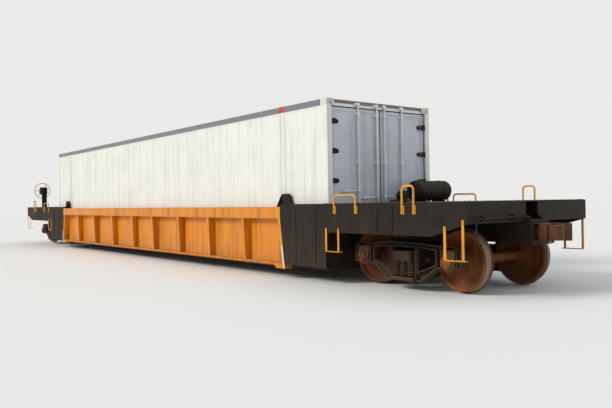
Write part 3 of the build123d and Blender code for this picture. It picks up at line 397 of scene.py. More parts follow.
@dataclass(frozen=True)
class Band:
    """A level stripe of another colour.

    Attributes:
        low: the height where it starts.
        high: the height where it ends.
        colour: its colour.
        cover: how fully it covers, from 0 to 1.
    """

    low: float
    high: float
    colour: Colour
    cover: float = 1.0

    def paint(self, sheet: Sheet, under: Socket) -> Socket:
        """Lays the stripe over a colour.

        Args:
            sheet: the finish's sheet.
            under: the colour so far.

        Returns:
            The colour with the stripe.
        """
        height = sheet.parts(sheet.position())[2]
        off = sheet.math("ABSOLUTE", sheet.math("SUBTRACT", height, (self.low + self.high) / 2))
        inside = sheet.math("LESS_THAN", off, (self.high - self.low) / 2)
        return sheet.mix(sheet.math("MULTIPLY", inside, self.cover), under, linear(self.colour))


@dataclass(frozen=True)
class Finish:
    """Paint or bare metal that has faded, run with rain, gathered dust and gone to rust.

    Attributes:
        name: the material's name.
        colour: the colour when clean.
        faded: the colour of its patches.
        fading: how strongly the patches show.
        streak: the colour of the rain streaks.
        streaking: how strongly they show.
        dust: the colour of the dust.
        dusting: how thick it lies on flat tops.
        rising: how thick it rises from below.
        dust_span: the heights between which rising dust gives out.
        rust: the colour of chips and rust.
        chipping: how much of the surface is chipped.
        roughness: how dull the clean surface is.
        metal: how metallic it is.
        specular: how strongly it mirrors.
        grain: patches a metre in the fine unevenness.
        relief: how deep that looks, in metres.
        bands: stripes of other colours.
    """

    name: str
    colour: Colour
    faded: Colour
    fading: float = 0.5
    streak: Colour = (0.30, 0.25, 0.19)
    streaking: float = 0.3
    dust: Colour = (0.47, 0.42, 0.35)
    dusting: float = 0.3
    rising: float = 0.4
    dust_span: tuple[float, float] = (0.1, 0.9)
    rust: Colour = (0.36, 0.20, 0.11)
    chipping: float = 0.3
    roughness: float = 0.5
    metal: float = 0.0
    specular: float = 0.4
    grain: float = 130.0
    relief: float = 0.0012
    bands: tuple[Band, ...] = ()

    def build(self, effects: Effects) -> bpy.types.Material:
        """Makes the material.

        Args:
            effects: the shared node groups.

        Returns:
            The material.
        """
        material = bpy.data.materials.new(self.name)
        material.use_nodes = True
        sheet = Sheet(material.node_tree)
        shader = material.node_tree.nodes["Principled BSDF"]
        colour = self.base(sheet, effects)
        for band in self.bands:
            colour = band.paint(sheet, colour)
        runs = effects.use(sheet, "Rain Streaks")
        colour = sheet.mix(sheet.math("MULTIPLY", runs, self.streaking), colour, linear(self.streak))
        chips = effects.use(sheet, "Chips", Amount=self.chipping)
        colour = sheet.mix(chips, colour, linear(self.rust))
        low, high = self.dust_span
        risen = sheet.math("MULTIPLY", effects.use(sheet, "Rising Dust", Bottom=low, Top=high), self.rising)
        settled = effects.use(sheet, "Settled Dust", Amount=self.dusting)
        dusty = sheet.math("MAXIMUM", risen, settled)
        colour = sheet.mix(dusty, colour, linear(self.dust))
        sheet.feed(shader.inputs["Base Color"], colour)
        dull = sheet.math("MAXIMUM", chips, dusty)
        sheet.feed(shader.inputs["Roughness"], sheet.remap(dull, 0.0, 1.0, self.roughness, 0.92))
        shader.inputs["Metallic"].default_value = self.metal
        shader.inputs["Specular IOR Level"].default_value = self.specular
        self.emboss(sheet, effects, shader)
        return material

    def base(self, sheet: Sheet, effects: Effects) -> Socket:
        """The clean colour with its faded patches."""
        patches = sheet.math("MULTIPLY", effects.use(sheet, "Blotches"), self.fading)
        return sheet.mix(patches, linear(self.colour), linear(self.faded))

    def emboss(self, sheet: Sheet, effects: Effects, shader: Node) -> None:
        """Gives the surface its fine unevenness.

        Args:
            sheet: the finish's sheet.
            effects: the shared node groups.
            shader: the surface's shader.
        """
        bump = sheet.place("ShaderNodeBump")
        bump.inputs["Strength"].default_value = 1.0
        bump.inputs["Distance"].default_value = self.relief
        sheet.feed(bump.inputs["Height"], effects.use(sheet, "Grain", Scale=self.grain))
        sheet.feed(shader.inputs["Normal"], bump.outputs[0])


@dataclass(frozen=True)
class WheelFinish(Finish):
    """Rust on a wheel, with the ring that runs on the rail worn bright.

    Attributes:
        truck_x: how far the trucks' middles are from the car's.
        axle_dx: how far the axles are from a truck's middle.
        axle_z: the axles' height.
        tread: the radii between which the wheel is bright.
        bright: the colour of the worn ring.
    """

    truck_x: float = 8.85
    axle_dx: float = 0.889
    axle_z: float = 0.485
    tread: tuple[float, float] = (0.449, 0.466)
    bright: Colour = (0.58, 0.52, 0.46)

    def base(self, sheet: Sheet, effects: Effects) -> Socket:
        """Rust with its patches, and the worn ring round each axle.

        Args:
            sheet: the finish's sheet.
            effects: the shared node groups.

        Returns:
            The colour's socket.
        """
        rusty = super().base(sheet, effects)
        x, _, z = sheet.parts(sheet.position())
        from_truck = sheet.math("ABSOLUTE", sheet.math("SUBTRACT", sheet.math("ABSOLUTE", x), self.truck_x))
        along = sheet.math("SUBTRACT", from_truck, self.axle_dx)
        up = sheet.math("SUBTRACT", z, self.axle_z)
        squares = sheet.math("ADD", sheet.math("MULTIPLY", along, along), sheet.math("MULTIPLY", up, up))
        radius = sheet.math("SQRT", squares)
        low, high = self.tread
        off = sheet.math("ABSOLUTE", sheet.math("SUBTRACT", radius, (low + high) / 2))
        ring = sheet.remap(off, (high - low) / 2 * 0.7, (high - low) / 2, 0.85, 0.0)
        return sheet.mix(ring, rusty, linear(self.bright))


@dataclass(frozen=True)
class TreadFinish(Finish):
    """Painted tread plate, with raised lugs that cross one another.

    Attributes:
        pitch: from one lug to the next.
        lug: half a lug's length and half its width, as shares of the pitch.
        lug_height: how high a lug stands.
    """

    pitch: float = 0.030
    lug: tuple[float, float] = (0.46, 0.13)
    lug_height: float = 0.0016

    def emboss(self, sheet: Sheet, effects: Effects, shader: Node) -> None:
        """Gives the surface its grain and its lugs.

        Args:
            sheet: the finish's sheet.
            effects: the shared node groups.
            shader: the surface's shader.
        """
        x, y, _ = sheet.parts(sheet.position())
        cells = [sheet.math("DIVIDE", value, self.pitch) for value in (x, y)]
        parity = sheet.math("ADD", *(sheet.math("FLOOR", cell) for cell in cells))
        odd = sheet.math("PINGPONG", parity, 1.0)
        near = [sheet.math("SUBTRACT", sheet.math("FRACT", cell), 0.5) for cell in cells]
        total = sheet.math("MULTIPLY", sheet.math("ADD", *near), 0.7071)
        gap = sheet.math("MULTIPLY", sheet.math("SUBTRACT", *near), 0.7071)
        other = sheet.math("SUBTRACT", 1.0, odd)
        long = sheet.math("ADD", sheet.math("MULTIPLY", total, odd), sheet.math("MULTIPLY", gap, other))
        wide = sheet.math("ADD", sheet.math("MULTIPLY", gap, odd), sheet.math("MULTIPLY", total, other))
        shares = [
            sheet.math("DIVIDE", sheet.math("ABSOLUTE", value), half) for value, half in zip((long, wide), self.lug)
        ]
        squares = [sheet.math("MULTIPLY", share, share) for share in shares]
        lug = sheet.remap(sheet.math("ADD", *squares), 0.5, 1.0, 1.0, 0.0)
        fine = sheet.place("ShaderNodeBump")
        fine.inputs["Distance"].default_value = self.relief
        sheet.feed(fine.inputs["Height"], effects.use(sheet, "Grain", Scale=self.grain))
        bump = sheet.place("ShaderNodeBump")
        bump.inputs["Distance"].default_value = self.lug_height
        sheet.feed(bump.inputs["Height"], lug)
        sheet.feed(bump.inputs["Normal"], fine.outputs[0])
        sheet.feed(shader.inputs["Normal"], bump.outputs[0])


@dataclass
class Paintshop:
    """Makes each finish once and puts it on pieces and carried nodes.

    Attributes:
        effects: the shared node groups.
        materials: the material of each slot and trim.
        rail_drop: how far down from the top the grey rails reach.
        rail_band: how tall the rails' grey is, past the top.
        header_low: where the dark strip over the doors starts.
        header_high: where that strip ends, past the top.
    """

    effects: Effects = field(default_factory=Effects)
    materials: dict[Slot | Trim, bpy.types.Material] = field(default_factory=dict)
    rail_drop: float = 0.112
    rail_band: float = 0.2
    header_low: float = 3.112
    header_high: float = 3.3

    def finishes(self) -> dict[Slot | Trim, Finish]:
        """The finish of each slot and trim."""
        rail_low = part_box("container_side_right")[1].z - self.rail_drop
        rails = Band(rail_low, rail_low + self.rail_band, (0.36, 0.37, 0.41), 0.9)
        header = Band(self.header_low, self.header_high, (0.30, 0.31, 0.35), 0.9)
        white = Finish(
            "chalky white paint", (0.90, 0.90, 0.865), (0.84, 0.845, 0.825), 0.4, (0.60, 0.58, 0.53), 0.22,
            dusting=0.35, rising=0.28, dust_span=(0.25, 0.7), chipping=0.2, roughness=0.45, relief=0.0008,
            bands=(rails,),
        )
        return {
            Slot.SIDE_YELLOW: Finish(
                "weathered yellow paint", (0.85, 0.515, 0.075), (0.88, 0.575, 0.14), 0.55, (0.35, 0.23, 0.09), 0.5,
                dusting=0.4, rising=0.2, dust_span=(0.15, 0.6), chipping=0.36, roughness=0.42,
            ),
            Slot.END_BLACK: Finish(
                "dusty black paint", (0.115, 0.095, 0.075), (0.17, 0.14, 0.11), 0.5, (0.24, 0.19, 0.13), 0.25,
                dust=(0.38, 0.32, 0.25), dusting=0.5, rising=0.22, dust_span=(0.1, 1.1), chipping=0.34,
                roughness=0.6, specular=0.16,
            ),
            Slot.FLOOR_BLACK: Finish(
                "dusty floor steel", (0.13, 0.11, 0.09), (0.24, 0.19, 0.14), 0.7, dusting=0.6, rising=0.4,
                chipping=0.4, roughness=0.6, specular=0.2,
            ),
            Slot.FITTING_YELLOW: Finish(
                "scuffed yellow fittings", (0.92, 0.64, 0.14), (0.86, 0.52, 0.12), 0.5, dusting=0.25, rising=0.15,
                chipping=0.42, roughness=0.4, relief=0.0006,
            ),
            Slot.TRUCK_BROWN: Finish(
                "oily brown castings", (0.17, 0.115, 0.07), (0.27, 0.17, 0.09), 0.8, (0.10, 0.07, 0.05), 0.4,
                dust=(0.45, 0.38, 0.30), dusting=0.5, rising=0.3, dust_span=(0.0, 0.7), chipping=0.3,
                roughness=0.62, specular=0.22, grain=70.0, relief=0.004,
            ),
            Slot.SPRING_STEEL: Finish(
                "rusty springs", (0.22, 0.145, 0.09), (0.34, 0.20, 0.10), 0.8, dusting=0.3, rising=0.3,
                chipping=0.2, roughness=0.6, metal=0.2, specular=0.25, relief=0.0015,
            ),
            Slot.BEARING_STEEL: Finish(
                "dusty bearings", (0.28, 0.20, 0.13), (0.40, 0.25, 0.14), 0.8, dusting=0.4, rising=0.25,
                chipping=0.2, roughness=0.55, metal=0.2, specular=0.3, grain=90.0, relief=0.002,
            ),
            Slot.WHEEL_RUST: WheelFinish(
                "rusty wheels", (0.40, 0.215, 0.10), (0.56, 0.32, 0.14), 0.85, (0.20, 0.11, 0.06), 0.5,
                dust=(0.40, 0.30, 0.20), dusting=0.2, rising=0.25, dust_span=(0.0, 0.6), chipping=0.2,
                roughness=0.7, metal=0.05, specular=0.25, grain=80.0, relief=0.002,
            ),
            Slot.COUPLER_RUST: Finish(
                "rusty couplers", (0.30, 0.185, 0.11), (0.42, 0.25, 0.13), 0.8, dusting=0.3, rising=0.2,
                chipping=0.2, roughness=0.66, specular=0.25, grain=70.0, relief=0.003,
            ),
            Slot.CONTAINER_WHITE: white,
            # painted shade: the white door paint is set darker and bluer than the frame, for the shade the door end
            # stands in
            Slot.DOOR_GREY: Finish(
                "door paint with painted shade", (0.78, 0.80, 0.835), (0.70, 0.72, 0.76), 0.5, (0.46, 0.45, 0.44), 0.3,
                dusting=0.3, rising=0.3, dust_span=(0.3, 1.2), chipping=0.25, roughness=0.45, relief=0.0008,
            ),
            Slot.CONTAINER_FLOOR: Finish(
                "dull floor beams", (0.17, 0.155, 0.14), (0.26, 0.22, 0.18), 0.6, dusting=0.5, chipping=0.3,
                roughness=0.7, specular=0.2,
            ),
            Slot.ROD_GALVANISED: Finish(
                "pale galvanised steel", (0.90, 0.89, 0.86), (0.80, 0.80, 0.79), 0.5, (0.52, 0.47, 0.40), 0.2,
                dusting=0.2, rising=0.1, chipping=0.2, roughness=0.36, metal=0.15, relief=0.0004,
            ),
            Slot.LIFTING_ORANGE: Finish(
                "scuffed orange paint", (0.80, 0.25, 0.09), (0.72, 0.34, 0.18), 0.6, dusting=0.35, rising=0.1,
                chipping=0.5, roughness=0.45,
            ),
            Slot.CASTING_WHITE: Finish(
                "scuffed white castings", (0.89, 0.88, 0.83), (0.78, 0.76, 0.70), 0.5, dusting=0.3, rising=0.2,
                chipping=0.4, roughness=0.5, grain=70.0, relief=0.002,
            ),
            Trim.TREAD: TreadFinish(
                "dusty tread plate", (0.13, 0.11, 0.085), (0.21, 0.175, 0.13), 0.6, (0.27, 0.21, 0.14), 0.2,
                dust=(0.42, 0.36, 0.28), dusting=0.5, rising=0.0, chipping=0.4, roughness=0.55, specular=0.22,
            ),
            Trim.RUBBER: Finish(
                "dull black rubber", (0.10, 0.10, 0.10), (0.16, 0.155, 0.15), 0.5, streaking=0.2, dusting=0.2,
                rising=0.2, chipping=0.0, roughness=0.8, specular=0.2, relief=0.0003,
            ),
            Trim.FRAMING: replace(white, name="chalky frame paint", bands=(header,)),
            Trim.ROOFING: Finish(
                "weathered roof sheet", (0.84, 0.845, 0.84), (0.74, 0.75, 0.75), 0.6, (0.62, 0.60, 0.55), 0.1,
                dusting=0.3, rising=0.0, chipping=0.2, roughness=0.5, metal=0.1, relief=0.001,
            ),
        }

    def open(self) -> None:
        """Builds the shared groups and every material."""
        self.effects.build()
        for place, finish in self.finishes().items():
            self.materials[place] = finish.build(self.effects)
            log.info("finish %s", finish.name)

    def paint(self, thing: Piece, finish: Slot | Trim) -> None:
        """Gives a piece or node one material."""
        thing.data.materials.clear()
        thing.data.materials.append(self.materials[finish])

    def coat_nodes(self) -> None:
        """Puts each carried node's finish on it, as the record names its slot."""
        slots = {row["node"]: Slot(row["material_slot"]) for row in frame["record"]["subparts"]}
        for name, node in frame["nodes"].items():
            self.paint(node, TRIMMED.get(name, slots[name]))
            log.info("node %s is %s", name, slots[name].value)

    def coat(
        self, piece: Piece, body: str, slot: Slot, node: str | None = None, trim: Trim | None = None,
    ) -> None:
        """Finishes a new piece and fixes it to its body.

        Args:
            piece: the finished mesh.
            body: the body it moves with.
            slot: the slot it takes its finish from.
            node: the carried node that it stands for.
            trim: what it wears in place of the slot's finish.
        """
        self.paint(piece, trim or slot)
        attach(piece, body)
        if node:
            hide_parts(node)
        log.info("piece %s on %s, %d faces", piece.name, body, len(piece.data.polygons))

    def coat_ends(
        self, name: str, pattern: Piece, slot: Slot, body: str = "car", node: str | None = None,
        places: Iterable[Matrix] = SIDES, trim: Trim | None = None,
    ) -> None:
        """Copies a pattern modelled at end a to both ends and finishes the copies.

        Args:
            name: the pieces' name, without the end's letter.
            pattern: the pattern piece, which is put away.
            slot: the slot they take their finish from.
            body: the body they move with, without the letter, or the car.
            node: the carried node that they stand for, without the letter.
            places: where the pattern goes at each end.
            trim: what they wear in place of the slot's finish.
        """
        for tag, end in ENDS.items():
            piece = Bench.lay(f"{name}_{tag}", pattern, [end @ place for place in places])
            self.coat(
                piece, body if body == "car" else f"{body}_{tag}", slot, f"{node}_{tag}" if node else None, trim,
            )
        bpy.data.objects.remove(pattern)

    def recast(self, name: str, node: str, width: float, body: str, slot: Slot) -> None:
        """Puts a copy with rounded edges in place of a carried casting, fixed to its body."""
        self.coat(Bench.recast(name, node, width), body, slot, node)


# Modelling


class Bench:
    """Hand modelling: a primitive at its size and place, worked on in edit mode and finished with modifiers."""

    @staticmethod
    def clear() -> None:
        """Leaves edit mode and deselects everything."""
        if bpy.context.object is not None and bpy.context.object.mode != "OBJECT":
            bpy.ops.object.mode_set(mode="OBJECT")
        bpy.ops.object.select_all(action="DESELECT")

    @classmethod
    def hold(cls, piece: Piece) -> None:
        """Makes a piece the only one selected.

        Args:
            piece: the piece.
        """
        cls.clear()
        piece.select_set(True)
        bpy.context.view_layer.objects.active = piece

    @classmethod
    def settle(cls, name: str) -> Piece:
        """Names the primitive just added and moves its place into its mesh.

        Args:
            name: the piece's name.

        Returns:
            The piece.
        """
        bpy.ops.object.transform_apply(location=True, rotation=True, scale=True)
        piece = bpy.context.object
        piece.name = name
        return piece

    @classmethod
    def pick(cls, piece: Piece, test: FaceTest) -> None:
        """Selects the faces that pass a test, in edit mode.

        Args:
            piece: the piece to work on.
            test: says of a face whether it is wanted.
        """
        cls.hold(piece)
        mesh = piece.data
        for part in (*mesh.vertices, *mesh.edges):
            part.select = False
        for face in mesh.polygons:
            face.select = test(face)
        bpy.ops.object.mode_set(mode="EDIT")
        bpy.ops.mesh.select_mode(type="FACE")

    @classmethod
    def disc(
        cls, name: str, sides: int, radius: float, centre: Point = (0, 0, 0), towards: Vector = Axis.Z.value,
    ) -> Piece:
        """A flat disc with its face selected, in edit mode.

        Args:
            name: the piece's name.
            sides: how many sides it has.
            radius: its radius.
            centre: its middle.
            towards: the way it faces.

        Returns:
            The disc.
        """
        cls.clear()
        bpy.ops.mesh.primitive_circle_add(
            vertices=sides, radius=radius, location=centre, rotation=towards.to_track_quat("Z", "Y").to_euler(),
            fill_type="NGON",
        )
        disc = cls.settle(name)
        cls.pick(disc, lambda face: True)
        return disc

    @classmethod
    def soften(cls, piece: Piece, width: float, segments: int = 2) -> Piece:
        """Rounds a piece's sharp edges.

        Args:
            piece: the piece.
            width: how wide the rounding is.
            segments: how many faces it has.

        Returns:
            The piece.
        """
        cls.hold(piece)
        bevel = piece.modifiers.new("rounding", "BEVEL")
        bevel.width = width
        bevel.segments = segments
        bevel.limit_method = "ANGLE"
        bevel.angle_limit = math.radians(40)
        bpy.ops.object.modifier_apply(modifier=bevel.name)
        bpy.ops.object.shade_smooth_by_angle(angle=math.radians(35))
        return piece

    @classmethod
    def block(cls, name: str, low: Point, high: Point) -> Piece:
        """A sharp block between two corners.

        Args:
            name: the piece's name.
            low: the lowest corner.
            high: the highest corner.

        Returns:
            The block.
        """
        cls.clear()
        size = Vector(high) - Vector(low)
        bpy.ops.mesh.primitive_cube_add(size=1, location=(Vector(low) + Vector(high)) / 2, scale=size)
        return cls.settle(name)

    @classmethod
    def slab(cls, name: str, low: Point, high: Point, edge: float, segments: int = 2) -> Piece:
        """A block between two corners, with its edges rounded."""
        return cls.soften(cls.block(name, low, high), edge, segments)

    @classmethod
    def shaped(
        cls, name: str, low: Point, high: Point, test: FaceTest, edge: float, segments: int = 2, margin: float = 0.0,
        move: Point | None = None, scale: Point | None = None, centre: Point | None = None,
    ) -> Piece:
        """A rounded block, one face of which is inset, moved or scaled.

        Args:
            name: the piece's name.
            low: the lowest corner.
            high: the highest corner.
            test: picks the face.
            edge: how wide the rounding is.
            segments: how many faces it has.
            margin: how wide a rim the face gets.
            move: how far what is left of it moves.
            scale: how it is scaled.
            centre: what it is scaled about, where that isn't the block's middle.

        Returns:
            The block.
        """
        piece = cls.block(name, low, high)
        cls.pick(piece, test)
        if margin:
            bpy.ops.mesh.inset(thickness=margin)
        if move:
            bpy.ops.transform.translate(value=move)
        if scale:
            bpy.ops.transform.resize(value=scale, center_override=centre or (Vector(low) + Vector(high)) / 2)
        return cls.soften(piece, edge, segments)

    @classmethod
    def repeat(cls, piece: Piece, count: int, step: Point) -> Piece:
        """Repeats a piece in a row, as one mesh.

        Args:
            piece: the piece.
            count: how many there are in all.
            step: from one to the next.

        Returns:
            The row.
        """
        cls.hold(piece)
        row = piece.modifiers.new("row", "ARRAY")
        row.count = count
        row.use_relative_offset = False
        row.use_constant_offset = True
        row.constant_offset_displace = step
        bpy.ops.object.modifier_apply(modifier=row.name)
        return piece

    @classmethod
    def row(cls, head: Piece, foot: Point, axis: Axis, count: int, step: Point) -> Piece:
        """A row of heads that point along an axis, from one that stands on the origin."""
        return cls.repeat(cls.spread("row", head, [turned(foot, axis)]), count, step)

    @classmethod
    def copy(cls, piece: Piece, name: str, matrix: Matrix) -> Piece:
        """Copies a piece with its own mesh.

        Args:
            piece: the piece to copy.
            name: the copy's name.
            matrix: where the copy goes.

        Returns:
            The copy.
        """
        twin = piece.copy()
        twin.data = piece.data.copy()
        twin.name = name
        twin.data.transform(matrix)
        if matrix.determinant() < 0:
            twin.data.flip_normals()
        bpy.context.scene.collection.objects.link(twin)
        return twin

    @classmethod
    def join(cls, name: str, pieces: Iterable[Piece]) -> Piece:
        """Joins pieces into one mesh.

        Args:
            name: the joined piece's name.
            pieces: what to join.

        Returns:
            The joined piece.
        """
        pieces = list(pieces)
        cls.clear()
        for piece in pieces:
            piece.select_set(True)
        bpy.context.view_layer.objects.active = pieces[0]
        if len(pieces) > 1:
            bpy.ops.object.join()
        pieces[0].name = name
        return pieces[0]

    @classmethod
    def lay(cls, name: str, pattern: Piece, places: Iterable[Matrix]) -> Piece:
        """Copies a pattern piece, which stays as it is, to each place and joins the copies."""
        return cls.join(name, [cls.copy(pattern, f"{name}_{i}", place) for i, place in enumerate(places)])

    @classmethod
    def spread(cls, name: str, pattern: Piece, places: Iterable[Matrix]) -> Piece:
        """Copies a pattern piece to each place, joins the copies and puts the pattern away.

        Args:
            name: the joined piece's name.
            pattern: the pattern piece.
            places: where each copy goes.

        Returns:
            The joined piece.
        """
        row = cls.lay(f"{name}_row", pattern, places)
        bpy.data.objects.remove(pattern)
        row.name = name
        return row

    @classmethod
    def close(cls, piece: Piece, smooth: float = 35.0) -> Piece:
        """Merges a piece's doubles, turns its faces outwards and smooths its shallow edges.

        Args:
            piece: the piece.
            smooth: the angle, in degrees, up to which an edge is smoothed.

        Returns:
            The piece.
        """
        cls.hold(piece)
        bpy.ops.object.mode_set(mode="EDIT")
        bpy.ops.mesh.select_all(action="SELECT")
        bpy.ops.mesh.remove_doubles(threshold=0.00005)
        bpy.ops.mesh.normals_make_consistent(inside=False)
        cls.hold(piece)
        bpy.ops.object.shade_smooth_by_angle(angle=math.radians(smooth))
        return piece

    @classmethod
    def turn(cls, name: str, rings: Iterable[tuple[float, float]], sides: int = 32, bored: bool = False) -> Piece:
        """A turned solid about the upright axis: a disc pushed out and widened or narrowed ring by ring.

        Args:
            name: the piece's name.
            rings: radius and height of each ring.
            sides: how many sides it has.
            bored: True to open it from the last ring through to the first.

        Returns:
            The turned solid.
        """
        (radius, height), *others = rings
        solid = cls.disc(name, sides, radius, (0, 0, height))
        for wide, high in others:
            bpy.ops.mesh.extrude_region_move(TRANSFORM_OT_translate={"value": (0, 0, high - height)})
            bpy.ops.transform.resize(value=(wide / radius, wide / radius, 1), center_override=(0, 0, high))
            radius, height = wide, high
        if bored:
            cls.pick(solid, lambda face: len(face.vertices) > 4)
            bpy.ops.mesh.delete(type="FACE")
            bpy.ops.mesh.select_mode(type="EDGE")
            bpy.ops.mesh.select_non_manifold()
            bpy.ops.mesh.bridge_edge_loops()
        return cls.close(solid)

    @classmethod
    def rod(
        cls, name: str, route: Iterable[Point], radius: float, bend: float = 0.0, sides: int = 12, steps: int = 5,
    ) -> Piece:
        """A round rod along straight runs: a disc pushed along each run and spun round each corner.

        Args:
            name: the piece's name.
            route: the corners of the rod's middle line.
            radius: the rod's radius.
            bend: the radius of its bends.
            sides: how many sides it has.
            steps: how many steps a bend has.

        Returns:
            The rod.
        """
        points = [Vector(point) for point in route]
        runs = [(b - a).normalized() for a, b in zip(points, points[1:])]
        rod = cls.disc(name, sides, radius, points[0], runs[0])
        here = points[0]
        for corner, before, after in zip(points[1:-1], runs, runs[1:]):
            angle = before.angle(after)
            cut = bend * math.tan(angle / 2)
            start = corner - before * cut
            bpy.ops.mesh.extrude_region_move(TRANSFORM_OT_translate={"value": start - here})
            axis = before.cross(after).normalized()
            centre = start + axis.cross(before) * bend
            bpy.ops.mesh.spin(steps=steps, angle=-angle, center=centre, axis=axis)
            here = corner + after * cut
        bpy.ops.mesh.extrude_region_move(TRANSFORM_OT_translate={"value": points[-1] - here})
        return cls.close(rod, 40.0)

    @classmethod
    def recast(cls, name: str, node: str, width: float) -> Piece:
        """A copy of a carried node with its edges rounded, as a casting's are.

        Args:
            name: the copy's name.
            node: the carried node.
            width: how wide the rounding is, with a third face to it where it is wide.

        Returns:
            The copy.
        """
        piece = bpy.data.objects.new(name, frame["nodes"][node].data.copy())
        bpy.context.scene.collection.objects.link(piece)
        cls.hold(piece)
        bpy.ops.object.mode_set(mode="EDIT")
        bpy.ops.mesh.select_all(action="SELECT")
        bpy.ops.mesh.remove_doubles(threshold=0.0002)
        bpy.ops.mesh.dissolve_limited(angle_limit=math.radians(0.5))
        bpy.ops.mesh.normals_make_consistent(inside=False)
        cls.clear()
        return cls.soften(piece, width, 3 if width > 0.005 else 2)

    @classmethod
    def bolt(cls, radius: float, height: float) -> Piece:
        """A hexagon bolt head on a washer, standing on the origin.

        Args:
            radius: the head's radius.
            height: its height.

        Returns:
            The bolt head.
        """
        cls.clear()
        washer = height * 0.2
        bpy.ops.mesh.primitive_cylinder_add(
            vertices=12, radius=radius * 1.25, depth=washer, location=(0, 0, washer / 2),
        )
        head = cls.settle("bolt")
        cls.pick(head, facing(Axis.Z))
        bpy.ops.mesh.inset(thickness=radius * 0.3)
        bpy.ops.mesh.extrude_region_move(TRANSFORM_OT_translate={"value": (0, 0, height - washer)})
        bpy.ops.mesh.inset(thickness=radius * 0.14)
        bpy.ops.transform.translate(value=(0, 0, height * 0.08))
        cls.clear()
        return head

    @classmethod
    def rivet(cls, radius: float, height: float) -> Piece:
        """A low rivet head, standing on the origin.

        Args:
            radius: the head's radius.
            height: its height.

        Returns:
            The rivet head.
        """
        head = cls.disc("rivet", 8, radius)
        bpy.ops.mesh.extrude_region_move(TRANSFORM_OT_translate={"value": (0, 0, height * 0.6)})
        bpy.ops.mesh.inset(thickness=radius * 0.4)
        bpy.ops.transform.translate(value=(0, 0, height * 0.4))
        cls.clear()
        return head


# Trucks and wheels


@dataclass
class Wheelsets:
    """Wheels with curved plates and worn treads, on shafts with bolted end caps.

    Attributes:
        back_y: how far a wheel's flat back is from the car's middle.
        cap_y: how far an end cap's face is from it.
        cap_bolt_r: the radius of the circle that the cap's bolts are on.
    """

    shop: Paintshop
    back_y: float = 0.6765
    cap_y: float = 1.166
    cap_bolt_r: float = 0.062

    def wheel(self) -> Piece:
        """One wheel, its back on the origin and its axis upright."""
        rings = (
            (0.120, 0.000), (0.138, 0.006), (0.150, 0.030), (0.240, 0.046), (0.340, 0.040), (0.388, 0.020),
            (0.402, 0.000), (0.470, 0.000), (0.481, 0.005), (0.485, 0.015), (0.482, 0.024), (0.472, 0.031),
            (0.4585, 0.037), (0.4565, 0.048), (0.4525, 0.128), (0.446, 0.142), (0.438, 0.145), (0.408, 0.145),
            (0.399, 0.138), (0.386, 0.096), (0.360, 0.078), (0.260, 0.076), (0.170, 0.086), (0.146, 0.108),
            (0.138, 0.138), (0.128, 0.143), (0.092, 0.143),
        )
        return Bench.turn("wheel", rings, 64)

    def shaft(self) -> Piece:
        """A whole axle about the upright axis, with three bolts in each end cap."""
        half = (
            (0.058, 1.166), (0.086, 1.164), (0.095, 1.156), (0.095, 1.130), (0.0775, 1.127), (0.0775, 0.900),
            (0.086, 0.880), (0.086, 0.832), (0.090, 0.826), (0.090, 0.670), (0.078, 0.640), (0.074, 0.200),
        )
        rings = [(r, -y) for r, y in half] + [(r, y) for r, y in reversed(half)]
        solid = Bench.turn("solid", rings, 40)
        cap = circle(3, self.cap_bolt_r, self.cap_y, 90)
        flip = Matrix.Rotation(math.pi, 4, "X")
        bolts = Bench.spread("cap_bolts", Bench.bolt(0.014, 0.016), cap + [flip @ place for place in cap])
        return Bench.join("axle", [solid, bolts])

    def build(self) -> None:
        """Puts a pair of wheels and a shaft in place of each plain wheelset."""
        seat = ALONG @ at(0, 0, self.back_y)
        for key in (tag + number for tag in ENDS for number in "12"):
            x, _, z = middle(f"axle_{key}")
            hub = at(x, 0, z)
            pair = Bench.spread(f"wheel_pair_{key}", self.wheel(), [hub @ side @ seat for side in SIDES])
            self.shop.coat(pair, f"wheelset_{key}", Slot.WHEEL_RUST, f"wheels_{key}")
            shaft = Bench.spread(f"shaft_{key}", self.shaft(), [hub @ ALONG])
            self.shop.coat(shaft, f"wheelset_{key}", Slot.WHEEL_RUST, f"axle_{key}")


